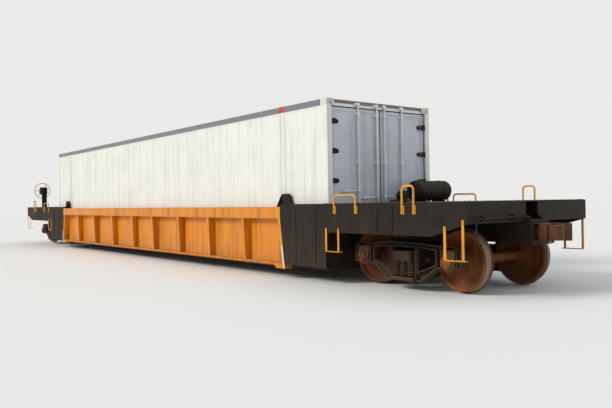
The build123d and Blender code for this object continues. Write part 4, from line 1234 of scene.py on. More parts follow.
@dataclass
class Trucks:
    """The two trucks: cast frames and bolsters, bearings, wedges and brake rigging.

    Attributes:
        frame_y: how far a side frame's middle is from the car's.
        web_half: half the thickness of a side frame's web.
        rim_rise: how far its rim stands out from the web.
        bore_r: the radius of a bearing's bore.
        jaw_half: half an adapter's length.
        seat_half: half its width.
        seat_rise: how far its underside is above the journal's middle.
        column_x: how far the window's columns are from a truck's middle.
        column_z: the heights of the rivets up them.
        pocket_x: how far the pockets beside the jaws are from it.
        pocket_z: the heights of the bolts in them.
        lever_x: how far the brake levers are from it.
        lever_lean: how far each leans towards it.
    """

    shop: Paintshop
    frame_y: float = 1.003
    web_half: float = 0.010
    rim_rise: float = 0.074
    bore_r: float = 0.0795
    jaw_half: float = 0.117
    seat_half: float = 0.092
    seat_rise: float = 0.062
    column_x: float = 0.246
    column_z: tuple[float, ...] = (0.285, 0.365, 0.445, 0.525, 0.605)
    pocket_x: float = 1.062
    pocket_z: tuple[float, ...] = (0.47, 0.56)
    lever_x: float = 0.30
    lever_lean: float = 0.085

    def castings(self) -> None:
        """Rounds the edges of the side frames, bolsters and brake beams."""
        widths = {"side_frames": 0.012, "truck_bolster": 0.012, "brake_beams": 0.006}
        for tag in ENDS:
            for node, width in widths.items():
                self.shop.recast(f"cast_{node}_{tag}", f"{node}_{tag}", width, f"truck_{tag}", Slot.TRUCK_BROWN)

    def cup(self) -> Piece:
        """A bearing cup about the upright axis, as far along it as it is across the car."""
        bore = self.bore_r
        rings = (
            (bore, 0.890), (0.104, 0.890), (0.118, 0.896), (0.1255, 0.906), (0.1255, 0.980), (0.119, 0.988),
            (0.119, 1.028), (0.1255, 1.036), (0.1255, 1.108), (0.118, 1.120), (0.104, 1.126), (bore, 1.126),
        )
        return Bench.turn("cup", rings, 40, bored=True)

    def bearings(self) -> None:
        """Cups with their adapters, at the four journals of each truck."""
        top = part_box("bearings_a")[1].z
        pieces = []
        for node in ("axle_a1", "axle_a2"):
            x, _, z = middle(node)
            pieces.append(Bench.spread("cup", self.cup(), [at(x, 0, z) @ ALONG]))
            pieces.append(Bench.shaped(
                "adapter", (x - self.jaw_half, self.frame_y - self.seat_half, z + self.seat_rise),
                (x + self.jaw_half, self.frame_y + self.seat_half, top), facing(Axis.Z), 0.006, margin=0.030,
                move=(0, 0, -0.010),
            ))
        self.shop.coat_ends("bearing_cups", Bench.join("journals", pieces), Slot.BEARING_STEEL, "truck", "bearings")

    def wedges(self) -> None:
        """The friction wedges between each bolster's ends and the columns."""
        x = middle("truck_bolster_a").x
        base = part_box("springs_a")[1].z
        wedge = Bench.shaped(
            "wedge", (x + 0.182, self.frame_y - 0.060, base + 0.004),
            (x + 0.2345, self.frame_y + 0.060, base + 0.140), facing(Axis.Z), 0.006, move=(0.006, 0, 0),
        )
        across = at(x, 0, 0) @ ENDS["b"] @ at(-x, 0, 0) @ MIRROR
        places = [side @ turn for side in SIDES for turn in (IDENTITY, across)]
        self.shop.coat_ends("friction_wedges", wedge, Slot.BEARING_STEEL, "truck", places=places)

    def rigging(self) -> None:
        """Brake levers either side of each bolster, and the rod that joins them."""
        x, _, z = middle("brake_beams_a")
        pieces = [Bench.rod("bottom_rod", [(x - 0.31, 0, z - 0.150), (x + 0.31, 0, z - 0.150)], 0.015)]
        for way in BOTH_WAYS:
            foot = x + way * self.lever_x
            pieces.append(Bench.shaped(
                "lever", (foot - 0.030, -0.012, z - 0.190), (foot + 0.030, 0.012, z + 0.200), facing(Axis.Z), 0.006,
                move=(-way * self.lever_lean, 0, 0),
            ))
            fork = ((foot - 0.060, -0.030, z - 0.032), (foot + 0.060, 0.030, z + 0.032))
            pieces.append(Bench.slab("fork", *fork, 0.008))
        levers = Bench.join("rigging", pieces)
        self.shop.coat_ends("brake_levers", levers, Slot.TRUCK_BROWN, "truck", places=[IDENTITY])

    def frame_bolts(self) -> None:
        """Rivets up the window's columns, and bolts in the pockets beside each jaw."""
        x = middle("side_frames_a").x
        web_y = self.frame_y + self.web_half
        rim_y = web_y + self.rim_rise
        heads = [turned((x + way * self.column_x, rim_y, z), Axis.Y) for way in BOTH_WAYS for z in self.column_z]
        studs = [turned((x + way * self.pocket_x, web_y, z), Axis.Y) for way in BOTH_WAYS for z in self.pocket_z]
        fixings = [
            Bench.spread("rivets", Bench.rivet(0.0075, 0.005), heads),
            Bench.spread("studs", Bench.bolt(0.012, 0.016), studs),
        ]
        self.shop.coat_ends("frame_bolts", Bench.join("fixings", fixings), Slot.TRUCK_BROWN, "truck")

    def build(self) -> None:
        """Dresses both trucks."""
        self.castings()
        self.bearings()
        self.wedges()
        self.rigging()
        self.frame_bolts()


@dataclass
class Springs:
    """The coil springs that stand in for the plain ones in both trucks.

    Attributes:
        radius: a coil's outer radius.
        wire: the bar's radius.
        turns: how many turns a coil has.
        pitch_x: from one coil to the next along the car.
        pitch_y: the same across it.
    """

    shop: Paintshop
    radius: float = 0.064
    wire: float = 0.0115
    turns: int = 6
    pitch_x: float = 0.150
    pitch_y: float = 0.136

    def coil(self, height: float) -> Piece:
        """One coil, standing on the origin.

        Args:
            height: its height.

        Returns:
            The coil.
        """
        Bench.clear()
        bpy.ops.mesh.primitive_circle_add(
            vertices=8, radius=self.wire, location=(self.radius - self.wire, 0, self.wire),
            rotation=(math.pi / 2, 0, 0), fill_type="NOTHING",
        )
        coil = Bench.settle("coil")
        Bench.hold(coil)
        screw = coil.modifiers.new("coil", "SCREW")
        screw.axis = "Z"
        screw.steps = 20
        screw.render_steps = 20
        screw.iterations = self.turns
        screw.screw_offset = (height - 2 * self.wire) / self.turns
        screw.use_smooth_shade = True
        screw.use_normal_calculate = True
        bpy.ops.object.modifier_apply(modifier=screw.name)
        bpy.ops.object.mode_set(mode="EDIT")
        bpy.ops.mesh.select_all(action="SELECT")
        bpy.ops.mesh.normals_make_consistent(inside=False)
        bpy.ops.mesh.select_all(action="DESELECT")
        bpy.ops.mesh.select_mode(type="EDGE")
        bpy.ops.mesh.select_non_manifold()
        bpy.ops.mesh.edge_face_add()
        Bench.clear()
        return coil

    def build(self) -> None:
        """Puts the nests of coils in both trucks."""
        for tag in ENDS:
            node = f"springs_{tag}"
            low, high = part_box(node)
            x = middle(node).x
            side_y = high.y - self.pitch_y / 2 - self.radius
            places = [
                at(x + dx * self.pitch_x, way * side_y + dy * self.pitch_y, low.z)
                for way in BOTH_WAYS for dx in (-1, 0, 1) for dy in (-0.5, 0.5)
            ]
            nest = Bench.spread(f"coil_springs_{tag}", self.coil(high.z - low.z), places)
            self.shop.coat(nest, f"truck_{tag}", Slot.SPRING_STEEL, node)


# The car


@dataclass
class WellSides:
    """The yellow sides: rivet rows, stake gussets, pale strips of painted highlight on the slanted ends, and the
    chords' end plates.

    Attributes:
        rivet_r: a rivet head's radius.
        rivet_pitch: from one rivet to the next.
        edge_z: how far the rows are from the chord's edges.
        flange_z: how far the lowest row is above the side's foot.
        stake_first: where the first stake stands.
        stake_pitch: from one stake to the next.
        stake_count: how many stand each side of the middle.
        slant: how far the slanted end leans, top to bottom.
        strip_w: how wide the pale strip of painted highlight at the slanted end is.
        strip_reach: how much of the slanted end it covers, from the foot up.
    """

    shop: Paintshop
    rivet_r: float = 0.011
    rivet_pitch: float = 0.141
    edge_z: float = 0.030
    flange_z: float = 0.081
    stake_first: float = 0.620
    stake_pitch: float = 1.410
    stake_count: int = 4
    slant: float = 0.130
    strip_w: float = 0.040
    strip_reach: float = 0.45

    def rivets(self) -> None:
        """Rows of rivet heads along the chord and the bottom flange, both sides."""
        low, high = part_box("side_chord_left")
        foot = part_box("side_wall_left")[0].z
        count = int((2 * high.x - 0.10) / self.rivet_pitch)
        start = -(count - 1) * self.rivet_pitch / 2
        rows = [
            Bench.row(
                Bench.rivet(self.rivet_r, 0.006), (start, high.y, z), Axis.Y, count, (self.rivet_pitch, 0, 0),
            )
            for z in (low.z + self.edge_z, high.z - self.edge_z, foot + self.flange_z)
        ]
        self.shop.coat(Bench.spread("side_rivets", Bench.join("rows", rows), SIDES), "car", Slot.SIDE_YELLOW)

    def gussets(self) -> None:
        """Small plates that tie each stake's head and foot to the web."""
        low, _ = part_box("side_wall_left")
        head_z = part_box("side_chord_left")[0].z
        foot_z = low.z + 0.095
        inner, outer = low.y + 0.010, low.y + 0.022
        plate = Bench.shaped(
            "gusset", (-0.110, inner, head_z - 0.120), (0.110, outer, head_z), facing(Axis.Z, -1), 0.003, 1,
            scale=(0.55, 1, 1),
        )
        shoe = Bench.shaped(
            "shoe", (-0.100, inner, foot_z), (0.100, outer, foot_z + 0.090), facing(Axis.Z), 0.003, 1,
            scale=(0.60, 1, 1),
        )
        places = [
            side @ at(way * (self.stake_first + i * self.stake_pitch), 0, 0)
            for side in SIDES for i in range(self.stake_count) for way in BOTH_WAYS
        ]
        ties = Bench.spread("stake_gussets", Bench.join("ties", [plate, shoe]), places)
        self.shop.coat(ties, "car", Slot.SIDE_YELLOW)

    def painted_highlight_strips(self) -> None:
        """Pale strips of painted highlight, for light caught low on the slanted ends of the sides."""
        low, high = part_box("side_wall_left")
        rise = self.strip_reach * (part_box("side_chord_left")[0].z - low.z)
        strip = Bench.shaped(
            "strip", (high.x - self.strip_w - 0.004, high.y - 0.012, low.z + 0.002),
            (high.x - 0.004, high.y + 0.003, low.z + rise), facing(Axis.Z), 0.002, 1,
            move=(-self.slant * self.strip_reach, 0, 0),
        )
        places = [side @ end for side in SIDES for end in (IDENTITY, Matrix.Scale(-1, 4, Axis.X.value))]
        # painted highlight: a pale white strip where light catches the slanted edge of the side
        self.shop.coat(Bench.spread("painted_highlight_strips", strip, places), "car", Slot.CASTING_WHITE)

    def caps(self) -> None:
        """Plates that close the ends of the hollow chords above the aprons' caps."""
        low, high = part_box("side_chord_left")
        edge = 0.014
        plate = Bench.slab(
            "cap", (high.x - 0.012, low.y + edge, low.z + edge), (high.x - 0.002, high.y - edge, high.z - edge),
            0.002, 1,
        )
        places = [side @ end for side in SIDES for end in ENDS.values()]
        self.shop.coat(Bench.spread("chord_caps", plate, places), "car", Slot.SIDE_YELLOW)

    def build(self) -> None:
        """Dresses both sides of the well."""
        self.rivets()
        self.gussets()
        self.painted_highlight_strips()
        self.caps()


@dataclass
class WellFloor:
    """Bolts that hold the bearers' ends.

    Attributes:
        bearer_x: where the bearers between the stakes are.
        bolt_drop: how far their tops are below the container's floor.
    """

    shop: Paintshop
    bearer_x: tuple[float, ...] = (0.0, -1.41, 1.41, -2.82, 2.82, -4.23, 4.23)
    bolt_drop: float = 0.040

    def build(self) -> None:
        """Dresses the floor of the well."""
        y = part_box("floor_bearers")[1].y - 0.080
        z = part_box("container_floor")[0].z - self.bolt_drop
        spots = [spot for x in self.bearer_x for spot in corners(x, y, 0.065, 0.040)]
        places = [side @ turned((*spot, z), Axis.Z) for side in SIDES for spot in spots]
        self.shop.coat(Bench.spread("bearer_bolts", Bench.bolt(0.014, 0.013), places), "car", Slot.FLOOR_BLACK)


@dataclass
class CarEnds:
    """The black ends: rivet rows, apron ribs, deck treads, centre-sill rivets and cut levers.

    Attributes:
        rivet_pitch: from one rivet to the next along the side sill.
        sill_row: where the sill's lower row starts and how far it may reach.
        sill_z: that row's height.
        rib_w: an apron rib's width.
        ribs: where each rib is, and the heights of its foot and top.
        plate_cuts_x: where the deck's plates meet along the car.
        plate_cuts_y: where they meet across it.
        plate_y: how far out they reach.
        plate_gap: the gap between them.
        plate_rise: how far they stand above the deck.
        web_row: where the centre sill's rows start, the step between rivets and how many there are.
        web_y: how far out the centre sill's webs are.
        web_z: the heights of the rows.
        striker_x: where the striker's flange is.
        striker_y: how far out its rivets are.
        striker_z: their heights.
        beam_x: where the end beam's face is.
        lever_z: the cut lever's height.
        lever_r: the radius of its bar.
    """

    shop: Paintshop
    rivet_pitch: float = 0.155
    sill_row: tuple[float, float] = (7.60, 9.70)
    sill_z: float = 0.913
    rib_w: float = 0.060
    ribs: tuple[Point, ...] = (
        (6.62, 0.330, 1.270), (7.18, 0.330, 1.270), (8.685, 0.925, 1.270), (9.015, 0.925, 1.270),
    )
    plate_cuts_x: tuple[float, ...] = (8.106, 9.266)
    plate_cuts_y: tuple[float, ...] = (-0.494, 0.494)
    plate_y: float = 1.470
    plate_gap: float = 0.012
    plate_rise: float = 0.004
    web_row: tuple[float, float, int] = (8.05, 0.16, 15)
    web_y: float = 0.165
    web_z: tuple[float, ...] = (0.800, 1.290)
    striker_x: float = 10.534
    striker_y: float = 0.195
    striker_z: tuple[float, ...] = (0.76, 0.86, 0.96, 1.06)
    beam_x: float = 10.400
    lever_z: float = 1.130
    lever_r: float = 0.0125

    def side_rivets(self) -> None:
        """Rivets along the top and bottom of the side sill."""
        low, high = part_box("end_side_left_a")
        rows = []
        for start, end, z in ((low.x + 0.100, high.x - 0.080, high.z - 0.040), (*self.sill_row, self.sill_z)):
            count = int((end - start) / self.rivet_pitch)
            head = Bench.rivet(0.012, 0.007)
            rows.append(Bench.row(head, (start, high.y, z), Axis.Y, count, (self.rivet_pitch, 0, 0)))
        self.shop.coat_ends("sill_rivets", Bench.join("rows", rows), Slot.END_BLACK)

    def stiffeners(self) -> None:
        """Pressed ribs down the apron and the side sill."""
        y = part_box("end_side_left_a")[1].y
        half = self.rib_w / 2
        ribs = [
            Bench.shaped(
                "rib", (x - half, y - 0.004, foot), (x + half, y + 0.006, top), facing(Axis.Y), 0.002, 1,
                margin=0.010, move=(0, 0.006, 0),
            )
            for x, foot, top in self.ribs
        ]
        self.shop.coat_ends("apron_ribs", Bench.join("ribs", ribs), Slot.END_BLACK)

    def deck(self) -> None:
        """Tread plates laid on each deck in panels, with a rivet near each corner."""
        low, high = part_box("end_deck_a")
        base, top = high.z - self.plate_rise, high.z + self.plate_rise
        spans = divide(low.x + 0.010, high.x - 0.012, self.plate_cuts_x, self.plate_gap)
        lanes = divide(-self.plate_y, self.plate_y, self.plate_cuts_y, self.plate_gap)
        plates, spots = [], []
        for x0, x1 in spans:
            for y0, y1 in lanes:
                plates.append(Bench.slab("plate", (x0, y0, base), (x1, y1, top), 0.002, 1))
                spots += corners((x0 + x1) / 2, (y0 + y1) / 2, (x1 - x0) / 2 - 0.05, (y1 - y0) / 2 - 0.05)
        panels = Bench.join("plates", plates)
        self.shop.coat_ends("tread_plates", panels, Slot.END_BLACK, places=[IDENTITY], trim=Trim.TREAD)
        heads = [turned((*spot, top), Axis.Z) for spot in spots]
        self.shop.coat_ends("deck_bolts", Bench.rivet(0.013, 0.006), Slot.END_BLACK, places=heads)

    def centre_rivets(self) -> None:
        """Rivets along the centre sill's webs and beside the striker."""
        start, step, count = self.web_row
        spots = [turned((start + step * i, self.web_y, z), Axis.Y) for z in self.web_z for i in range(count)]
        spots += [turned((self.striker_x, self.striker_y, z), Axis.X) for z in self.striker_z]
        places = [side @ spot for side in SIDES for spot in spots]
        self.shop.coat_ends("centre_sill_rivets", Bench.rivet(0.014, 0.009), Slot.END_BLACK, places=places)

    def cut_lever(self) -> None:
        """The bar that lifts a coupler's lock, held by two brackets on the end beam."""
        x, z = self.beam_x, self.lever_z
        route = [(x + 0.055, 1.370, z - 0.240), (x + 0.055, 1.370, z), (x + 0.055, 0.330, z), (x + 0.190, 0.330, z)]
        pieces = [Bench.rod("cut_bar", route, self.lever_r, 0.050)]
        for y in (1.180, 0.480):
            pieces.append(Bench.shaped(
                "clip", (x - 0.002, y - 0.028, z - 0.045), (x + 0.075, y + 0.028, z + 0.045), facing(Axis.X), 0.004,
                scale=(1, 0.8, 0.5),
            ))
        self.shop.coat_ends("cut_lever", Bench.join("lever", pieces), Slot.END_BLACK, places=[MIRROR])

    def build(self) -> None:
        """Dresses both ends."""
        self.side_rivets()
        self.stiffeners()
        self.deck()
        self.centre_rivets()
        self.cut_lever()


@dataclass
class Grabs:
    """Round-bar hoops on plates, and stirrup steps with studded treads.

    Attributes:
        bar_r: the bar's radius.
        bend: the radius of a hoop's corners.
        foot_low: where a hoop's feet end.
        step_low: the height of a step's tread.
        hoops: each hoop's two legs and the height of its rail.
        steps: each step's two ends and how high its legs reach.
    """

    shop: Paintshop
    bar_r: float = 0.0155
    bend: float = 0.060
    foot_low: float = 1.200
    step_low: float = 0.555
    hoops: tuple[Point, ...] = ((7.716, 8.234, 1.492), (9.246, 9.474, 1.604))
    steps: tuple[tuple[float, ...], ...] = ((7.470, 7.820, 0.948, 0.948), (10.010, 10.360, 1.026, 1.116))

    def hoop(self, face: float, x0: float, x1: float, top: float) -> Piece:
        """One hoop with a plate and bolts at each foot.

        Args:
            face: the face of the side sill.
            x0: one leg's middle.
            x1: the other's.
            top: the height of the rail's middle.

        Returns:
            The hoop.
        """
        y, foot = face + self.bar_r, self.foot_low
        route = [(x0, y, foot), (x0, y, top), (x1, y, top), (x1, y, foot)]
        pieces = [Bench.rod("hoop", route, self.bar_r, self.bend)]
        for x in (x0, x1):
            plate = ((x - 0.032, face - 0.002, foot - 0.010), (x + 0.032, face + 0.008, foot + 0.120))
            pieces.append(Bench.slab("foot", *plate, 0.004))
            bolts = [turned((i, face + 0.008, j), Axis.Y) for i, j in corners(x, foot + 0.055, 0.022, 0.043)]
            pieces.append(Bench.spread("foot_bolts", Bench.bolt(0.008, 0.009), bolts))
        return Bench.join("hoop", pieces)

    def step(self, face: float, x0: float, x1: float, *tops: float) -> Piece:
        """One stirrup step of flat bar with a studded tread.

        Args:
            face: the face of the side sill.
            x0: one end.
            x1: the other end.
            tops: how high each leg reaches up the sill.

        Returns:
            The step.
        """
        low, outer = self.step_low, face + 0.012
        pieces = []
        for x, top in zip((x0, x1 - 0.040), tops):
            pieces.append(Bench.slab("leg", (x, face, low), (x + 0.040, outer, top), 0.004))
            bolts = [turned((x + 0.020, outer, top - drop), Axis.Y) for drop in (0.018, 0.050)]
            pieces.append(Bench.spread("leg_bolts", Bench.bolt(0.009, 0.010), bolts))
        pieces.append(Bench.shaped(
            "tread", (x0, face - 0.072, low), (x1, outer, low + 0.012), facing(Axis.Z), 0.002, 1, margin=0.010,
            move=(0, 0, -0.004),
        ))
        stud = Bench.turn("stud", [(0.011, 0.0), (0.010, 0.005), (0.006, 0.006)], 8)
        spots = [
            at(x0 + 0.045 + 0.0433 * i, face - 0.050 + 0.040 * j, low + 0.007) for i in range(7) for j in range(2)
        ]
        return Bench.join("step", pieces + [Bench.spread("studs", stud, spots)])

    def build(self) -> None:
        """Puts the round hoops and the steps in place of the plain ones."""
        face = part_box("hoops_and_steps_a")[1].y - 0.032
        pieces = [self.hoop(face, *hoop) for hoop in self.hoops] + [self.step(face, *step) for step in self.steps]
        grabs = Bench.join("grabs", pieces)
        self.shop.coat_ends("grabs_and_steps", grabs, Slot.FITTING_YELLOW, node="hoops_and_steps")


@dataclass
class AirGear:
    """The air reservoir on straps and saddles, the control valve, and the rigid pipes between them.

    Attributes:
        tank: the reservoir's middle.
        tank_r: its radius.
        valve_x: where the valve is along the car.
        valve_y: where it is across it.
        pipe_r: a pipe's radius.
    """

    shop: Paintshop
    tank: Point = (7.668, 0.880, DECK_Z + 0.206)
    tank_r: float = 0.189
    valve_x: float = 7.640
    valve_y: float = 0.180
    pipe_r: float = 0.014

    def reservoir(self) -> Piece:
        """The tank with domed ends, weld beads, two straps and a drain."""
        r = self.tank_r
        x, middle_y, z = self.tank
        half = (
            (0.030, 0.480), (0.070, 0.477), (0.112, 0.466), (0.150, 0.447), (0.177, 0.422), (r - 0.003, 0.398),
            (r - 0.003, 0.392), (r, 0.389), (r, 0.383), (r - 0.003, 0.380), (r - 0.003, 0.155), (r, 0.152),
            (r, 0.148), (r - 0.003, 0.145),
        )
        rings = [(radius, -far) for radius, far in half] + [(radius, far) for radius, far in reversed(half)]
        pieces = [Bench.spread("tank", Bench.turn("tank", rings, 48), [at(x, middle_y, z) @ ALONG])]
        band = [(r - 0.001, -0.022), (r + 0.003, -0.020), (r + 0.003, 0.020), (r - 0.001, 0.022)]
        for y in (middle_y - 0.250, middle_y + 0.250):
            pieces += [
                Bench.spread("strap", Bench.turn("strap", band, 48), [at(x, y, z) @ ALONG]),
                Bench.shaped(
                    "saddle", (x - 0.130, y - 0.030, DECK_Z), (x + 0.130, y + 0.030, DECK_Z + 0.092), facing(Axis.Z),
                    0.004, scale=(1, 0.5, 1),
                ),
                Bench.slab(
                    "foot", (x - 0.165, y - 0.030, DECK_Z), (x + 0.165, y + 0.030, DECK_Z + 0.008), 0.002, 1,
                ),
                Bench.spread(
                    "foot_bolts", Bench.bolt(0.010, 0.016),
                    [turned((*spot, DECK_Z + 0.004), Axis.Z) for spot in corners(x, y, 0.146, 0.012)],
                ),
            ]
        drain = Bench.turn("drain", [(0.012, -0.012), (0.018, -0.008), (0.018, 0.010), (0.010, 0.014)], 12)
        pieces.append(Bench.spread("drain", drain, [at(x, middle_y, z - r + 0.004)]))
        return Bench.join("reservoir", pieces)

    def valve(self) -> Piece:
        """The pipe bracket with a ribbed portion bolted to each side."""
        x, y = self.valve_x, self.valve_y
        bracket = Bench.shaped(
            "bracket", (x - 0.075, y - 0.045, DECK_Z), (x + 0.075, y + 0.045, DECK_Z + 0.205), facing(Axis.Z), 0.006,
            margin=0.014, move=(0, 0, -0.008),
        )
        rings = (
            (0.070, 0.0), (0.070, 0.014), (0.056, 0.018), (0.054, 0.042), (0.064, 0.046), (0.064, 0.056),
            (0.048, 0.062), (0.030, 0.078),
        )
        seats = [turned((x, y + way * 0.045, DECK_Z + 0.114), Axis.Y, way) for way in BOTH_WAYS]
        portions = Bench.spread("portions", Bench.turn("portion", rings, 24), seats)
        spots = [seat @ spot for seat in seats for spot in circle(4, 0.062, 0.014, 45)]
        bolts = Bench.spread("portion_bolts", Bench.bolt(0.007, 0.009), spots)
        return Bench.join("valve", [bracket, portions, bolts])

    def pipes(self) -> Piece:
        """Steel pipes from the reservoir to the valve, and down through the deck."""
        z = DECK_Z + 0.030
        runs = (
            ((7.640, 0.300, z + 0.050), (7.640, 0.360, z + 0.050), (7.668, 0.405, z + 0.120)),
            ((7.560, 0.180, z), (7.500, 0.180, z), (7.500, 0.020, z), (7.500, 0.020, z - 0.060)),
            ((7.720, 0.180, z), (7.860, 0.180, z), (7.860, -0.300, z), (7.860, -0.300, z - 0.060)),
            ((7.668, 1.355, z + 0.060), (7.668, 1.400, z + 0.060), (7.668, 1.400, z - 0.060)),
        )
        return Bench.join("pipes", [Bench.rod("pipe", run, self.pipe_r, 0.030) for run in runs])

    def build(self) -> None:
        """Puts the air gear in place of the plain one."""
        gear = Bench.join("air_gear", [self.reservoir(), self.valve(), self.pipes()])
        self.shop.coat(gear, "car", Slot.END_BLACK, "air_brake_gear")


@dataclass
class BrakeGear:
    """The brake cylinder, its lever, and the hand brake with its round wheel, modelled at end a for end b.

    Attributes:
        cylinder_seat: the cylinder's middle.
        wheel_seat: the middle of the hand brake's cover.
        wheel_r: the hand wheel's radius.
        wheel_bar: the radius of its rim's bar.
        dish: how far its rim stands out.
    """

    shop: Paintshop
    cylinder_seat: Point = (8.420, 0.560, DECK_Z + 0.146)
    wheel_seat: Point = (9.480, 1.180, DECK_Z + 0.620)
    wheel_r: float = 0.275
    wheel_bar: float = 0.013
    dish: float = 0.095

    def cylinder(self) -> None:
        """The ribbed cylinder with its bolted head, tapered nose, push rod and lever."""
        x, y, z = self.cylinder_seat
        rings = (
            (0.060, -0.165), (0.108, -0.163), (0.129, -0.156), (0.130, -0.132), (0.118, -0.130), (0.116, -0.080),
            (0.119, -0.078), (0.119, -0.070), (0.116, -0.068), (0.116, 0.020), (0.119, 0.022), (0.119, 0.030),
            (0.116, 0.032), (0.118, 0.130), (0.130, 0.132), (0.130, 0.160), (0.118, 0.166), (0.080, 0.205),
            (0.050, 0.232), (0.046, 0.245), (0.024, 0.246),
        )
        push = ((0.020, 0.240), (0.020, 0.420), (0.024, 0.424), (0.024, 0.440), (0.016, 0.443))
        stand = (
            (0.034, DECK_Z), (0.030, DECK_Z + 0.008), (0.018, DECK_Z + 0.016), (0.018, z + 0.020),
            (0.012, z + 0.026),
        )
        upright = [
            Bench.turn("barrel", rings, 40),
            Bench.turn("rod", push, 16),
            Bench.spread("studs", Bench.bolt(0.008, 0.016), circle(8, 0.121, 0.148)),
        ]
        lying = at(x, y, z) @ Matrix.Rotation(math.radians(90), 4, "Y")
        spots = [turned((*spot, DECK_Z + 0.016), Axis.Z) for spot in corners(x, y, 0.085, 0.085)]
        pieces = [
            Bench.spread("cylinder", Bench.join("upright", upright), [lying]),
            Bench.slab("foot", (x - 0.104, y - 0.104, DECK_Z), (x + 0.104, y + 0.104, DECK_Z + 0.016), 0.003),
            Bench.shaped(
                "web", (x - 0.090, y - 0.060, DECK_Z + 0.010), (x + 0.090, y + 0.060, DECK_Z + 0.080),
                facing(Axis.Z), 0.006, scale=(1, 1.3, 1),
            ),
            Bench.spread("foot_bolts", Bench.bolt(0.011, 0.014), spots),
            Bench.slab("lever", (x + 0.425, y - 0.160, z - 0.011), (x + 0.475, y + 0.160, z + 0.011), 0.005),
            Bench.spread("post", Bench.turn("post", stand, 16), [at(x + 0.450, y - 0.130, 0)]),
        ]
        gear = Bench.spread("brake_cylinder_gear", Bench.join("gear", pieces), [ENDS["b"]])
        self.shop.coat(gear, "car", Slot.END_BLACK, "brake_cylinder")

    def stand(self) -> None:
        """The hand brake's housing with its bolted cover, release lever and chain guard."""
        x, y, z = self.wheel_seat
        rings = ((0.104, 0.0), (0.104, 0.010), (0.096, 0.016), (0.060, 0.020), (0.050, 0.034), (0.040, 0.036))
        seat = turned(self.wheel_seat, Axis.X)
        spots = [seat @ spot for spot in circle(6, 0.088, 0.012, 30)]
        route = [(x - 0.060, y + dy, z + dz) for dy, dz in ((0.118, 0.060), (0.150, 0.060), (0.150, -0.160))]
        fittings = [
            Bench.spread("cover", Bench.turn("cover", rings, 32), [seat]),
            Bench.spread("cover_bolts", Bench.bolt(0.008, 0.010), spots),
            Bench.rod("lever", route, 0.009, 0.02),
            Bench.slab("guard", (x - 0.095, y - 0.040, DECK_Z), (x - 0.035, y + 0.040, z - 0.140), 0.008),
        ]
        dressed = Bench.spread("fittings", Bench.join("fittings", fittings), [ENDS["b"]])
        housing = Bench.recast("brake_housing", "hand_brake_stand", 0.012)
        self.shop.coat(Bench.join("brake_housing", [housing, dressed]), "car", Slot.END_BLACK, "hand_brake_stand")

    def wheel(self) -> None:
        """The hand wheel: a round rim on three dished spokes and a hub."""
        Bench.clear()
        bpy.ops.mesh.primitive_torus_add(
            major_segments=48, minor_segments=12, major_radius=self.wheel_r - 0.001, minor_radius=self.wheel_bar,
            location=(0, 0, self.dish),
        )
        rim = Bench.close(Bench.settle("rim"))
        rings = ((0.022, 0.0), (0.022, 0.040), (0.034, 0.046), (0.036, 0.098), (0.028, 0.106), (0.014, 0.107))
        hub = Bench.turn("hub", rings, 24)
        route = [(0.020, 0, 0.076), (0.090, 0, 0.076), (self.wheel_r, 0, self.dish)]
        spokes = Bench.spread("spokes", Bench.rod("spoke", route, 0.011, 0.040, 10), circle(3, 0))
        wheel = Bench.join("wheel", [rim, hub, spokes])
        placed = Bench.spread("hand_wheel", wheel, [ENDS["b"] @ turned(self.wheel_seat, Axis.X)])
        self.shop.coat(placed, "car", Slot.FITTING_YELLOW, "hand_brake_wheel")

    def build(self) -> None:
        """Builds the brake gear."""
        self.cylinder()
        self.stand()
        self.wheel()


@dataclass
class Couplers:
    """Rounded coupler and knuckle castings, with the knuckle's pin and the lock lifter's eye.

    Attributes:
        pin_x: where the knuckle's pin is.
        pin_y: how far it is to the side.
        pin_r: its radius.
        eye_x: where the lock lifter's eye is.
    """

    shop: Paintshop
    pin_x: float = 10.790
    pin_y: float = -0.096
    pin_r: float = 0.021
    eye_x: float = 10.635

    def build(self) -> None:
        """Dresses both couplers."""
        for tag in ENDS:
            for node, width in (("coupler", 0.012), ("knuckle", 0.014)):
                self.shop.recast(f"cast_{node}_{tag}", f"{node}_{tag}", width, f"coupler_{tag}", Slot.COUPLER_RUST)
        low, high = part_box("coupler_a")
        r = self.pin_r
        rings = (
            (0.014, low.z - 0.020), (r, low.z - 0.016), (r, high.z + 0.002), (r + 0.012, high.z + 0.003),
            (r + 0.012, high.z + 0.014), (0.016, high.z + 0.018),
        )
        pin = Bench.spread("pin", Bench.turn("pin", rings, 20), [at(self.pin_x, self.pin_y, 0)])
        bends = ((0.070, 0.020), (0.070, -0.040), (0.125, -0.040), (0.125, 0.030))
        eye = Bench.rod("eye", [(self.eye_x, y, low.z + dz) for y, dz in bends], 0.010, 0.015)
        fittings = Bench.join("fittings", [pin, eye])
        self.shop.coat_ends("coupler_pin", fittings, Slot.COUPLER_RUST, "coupler", places=[IDENTITY])


# The container


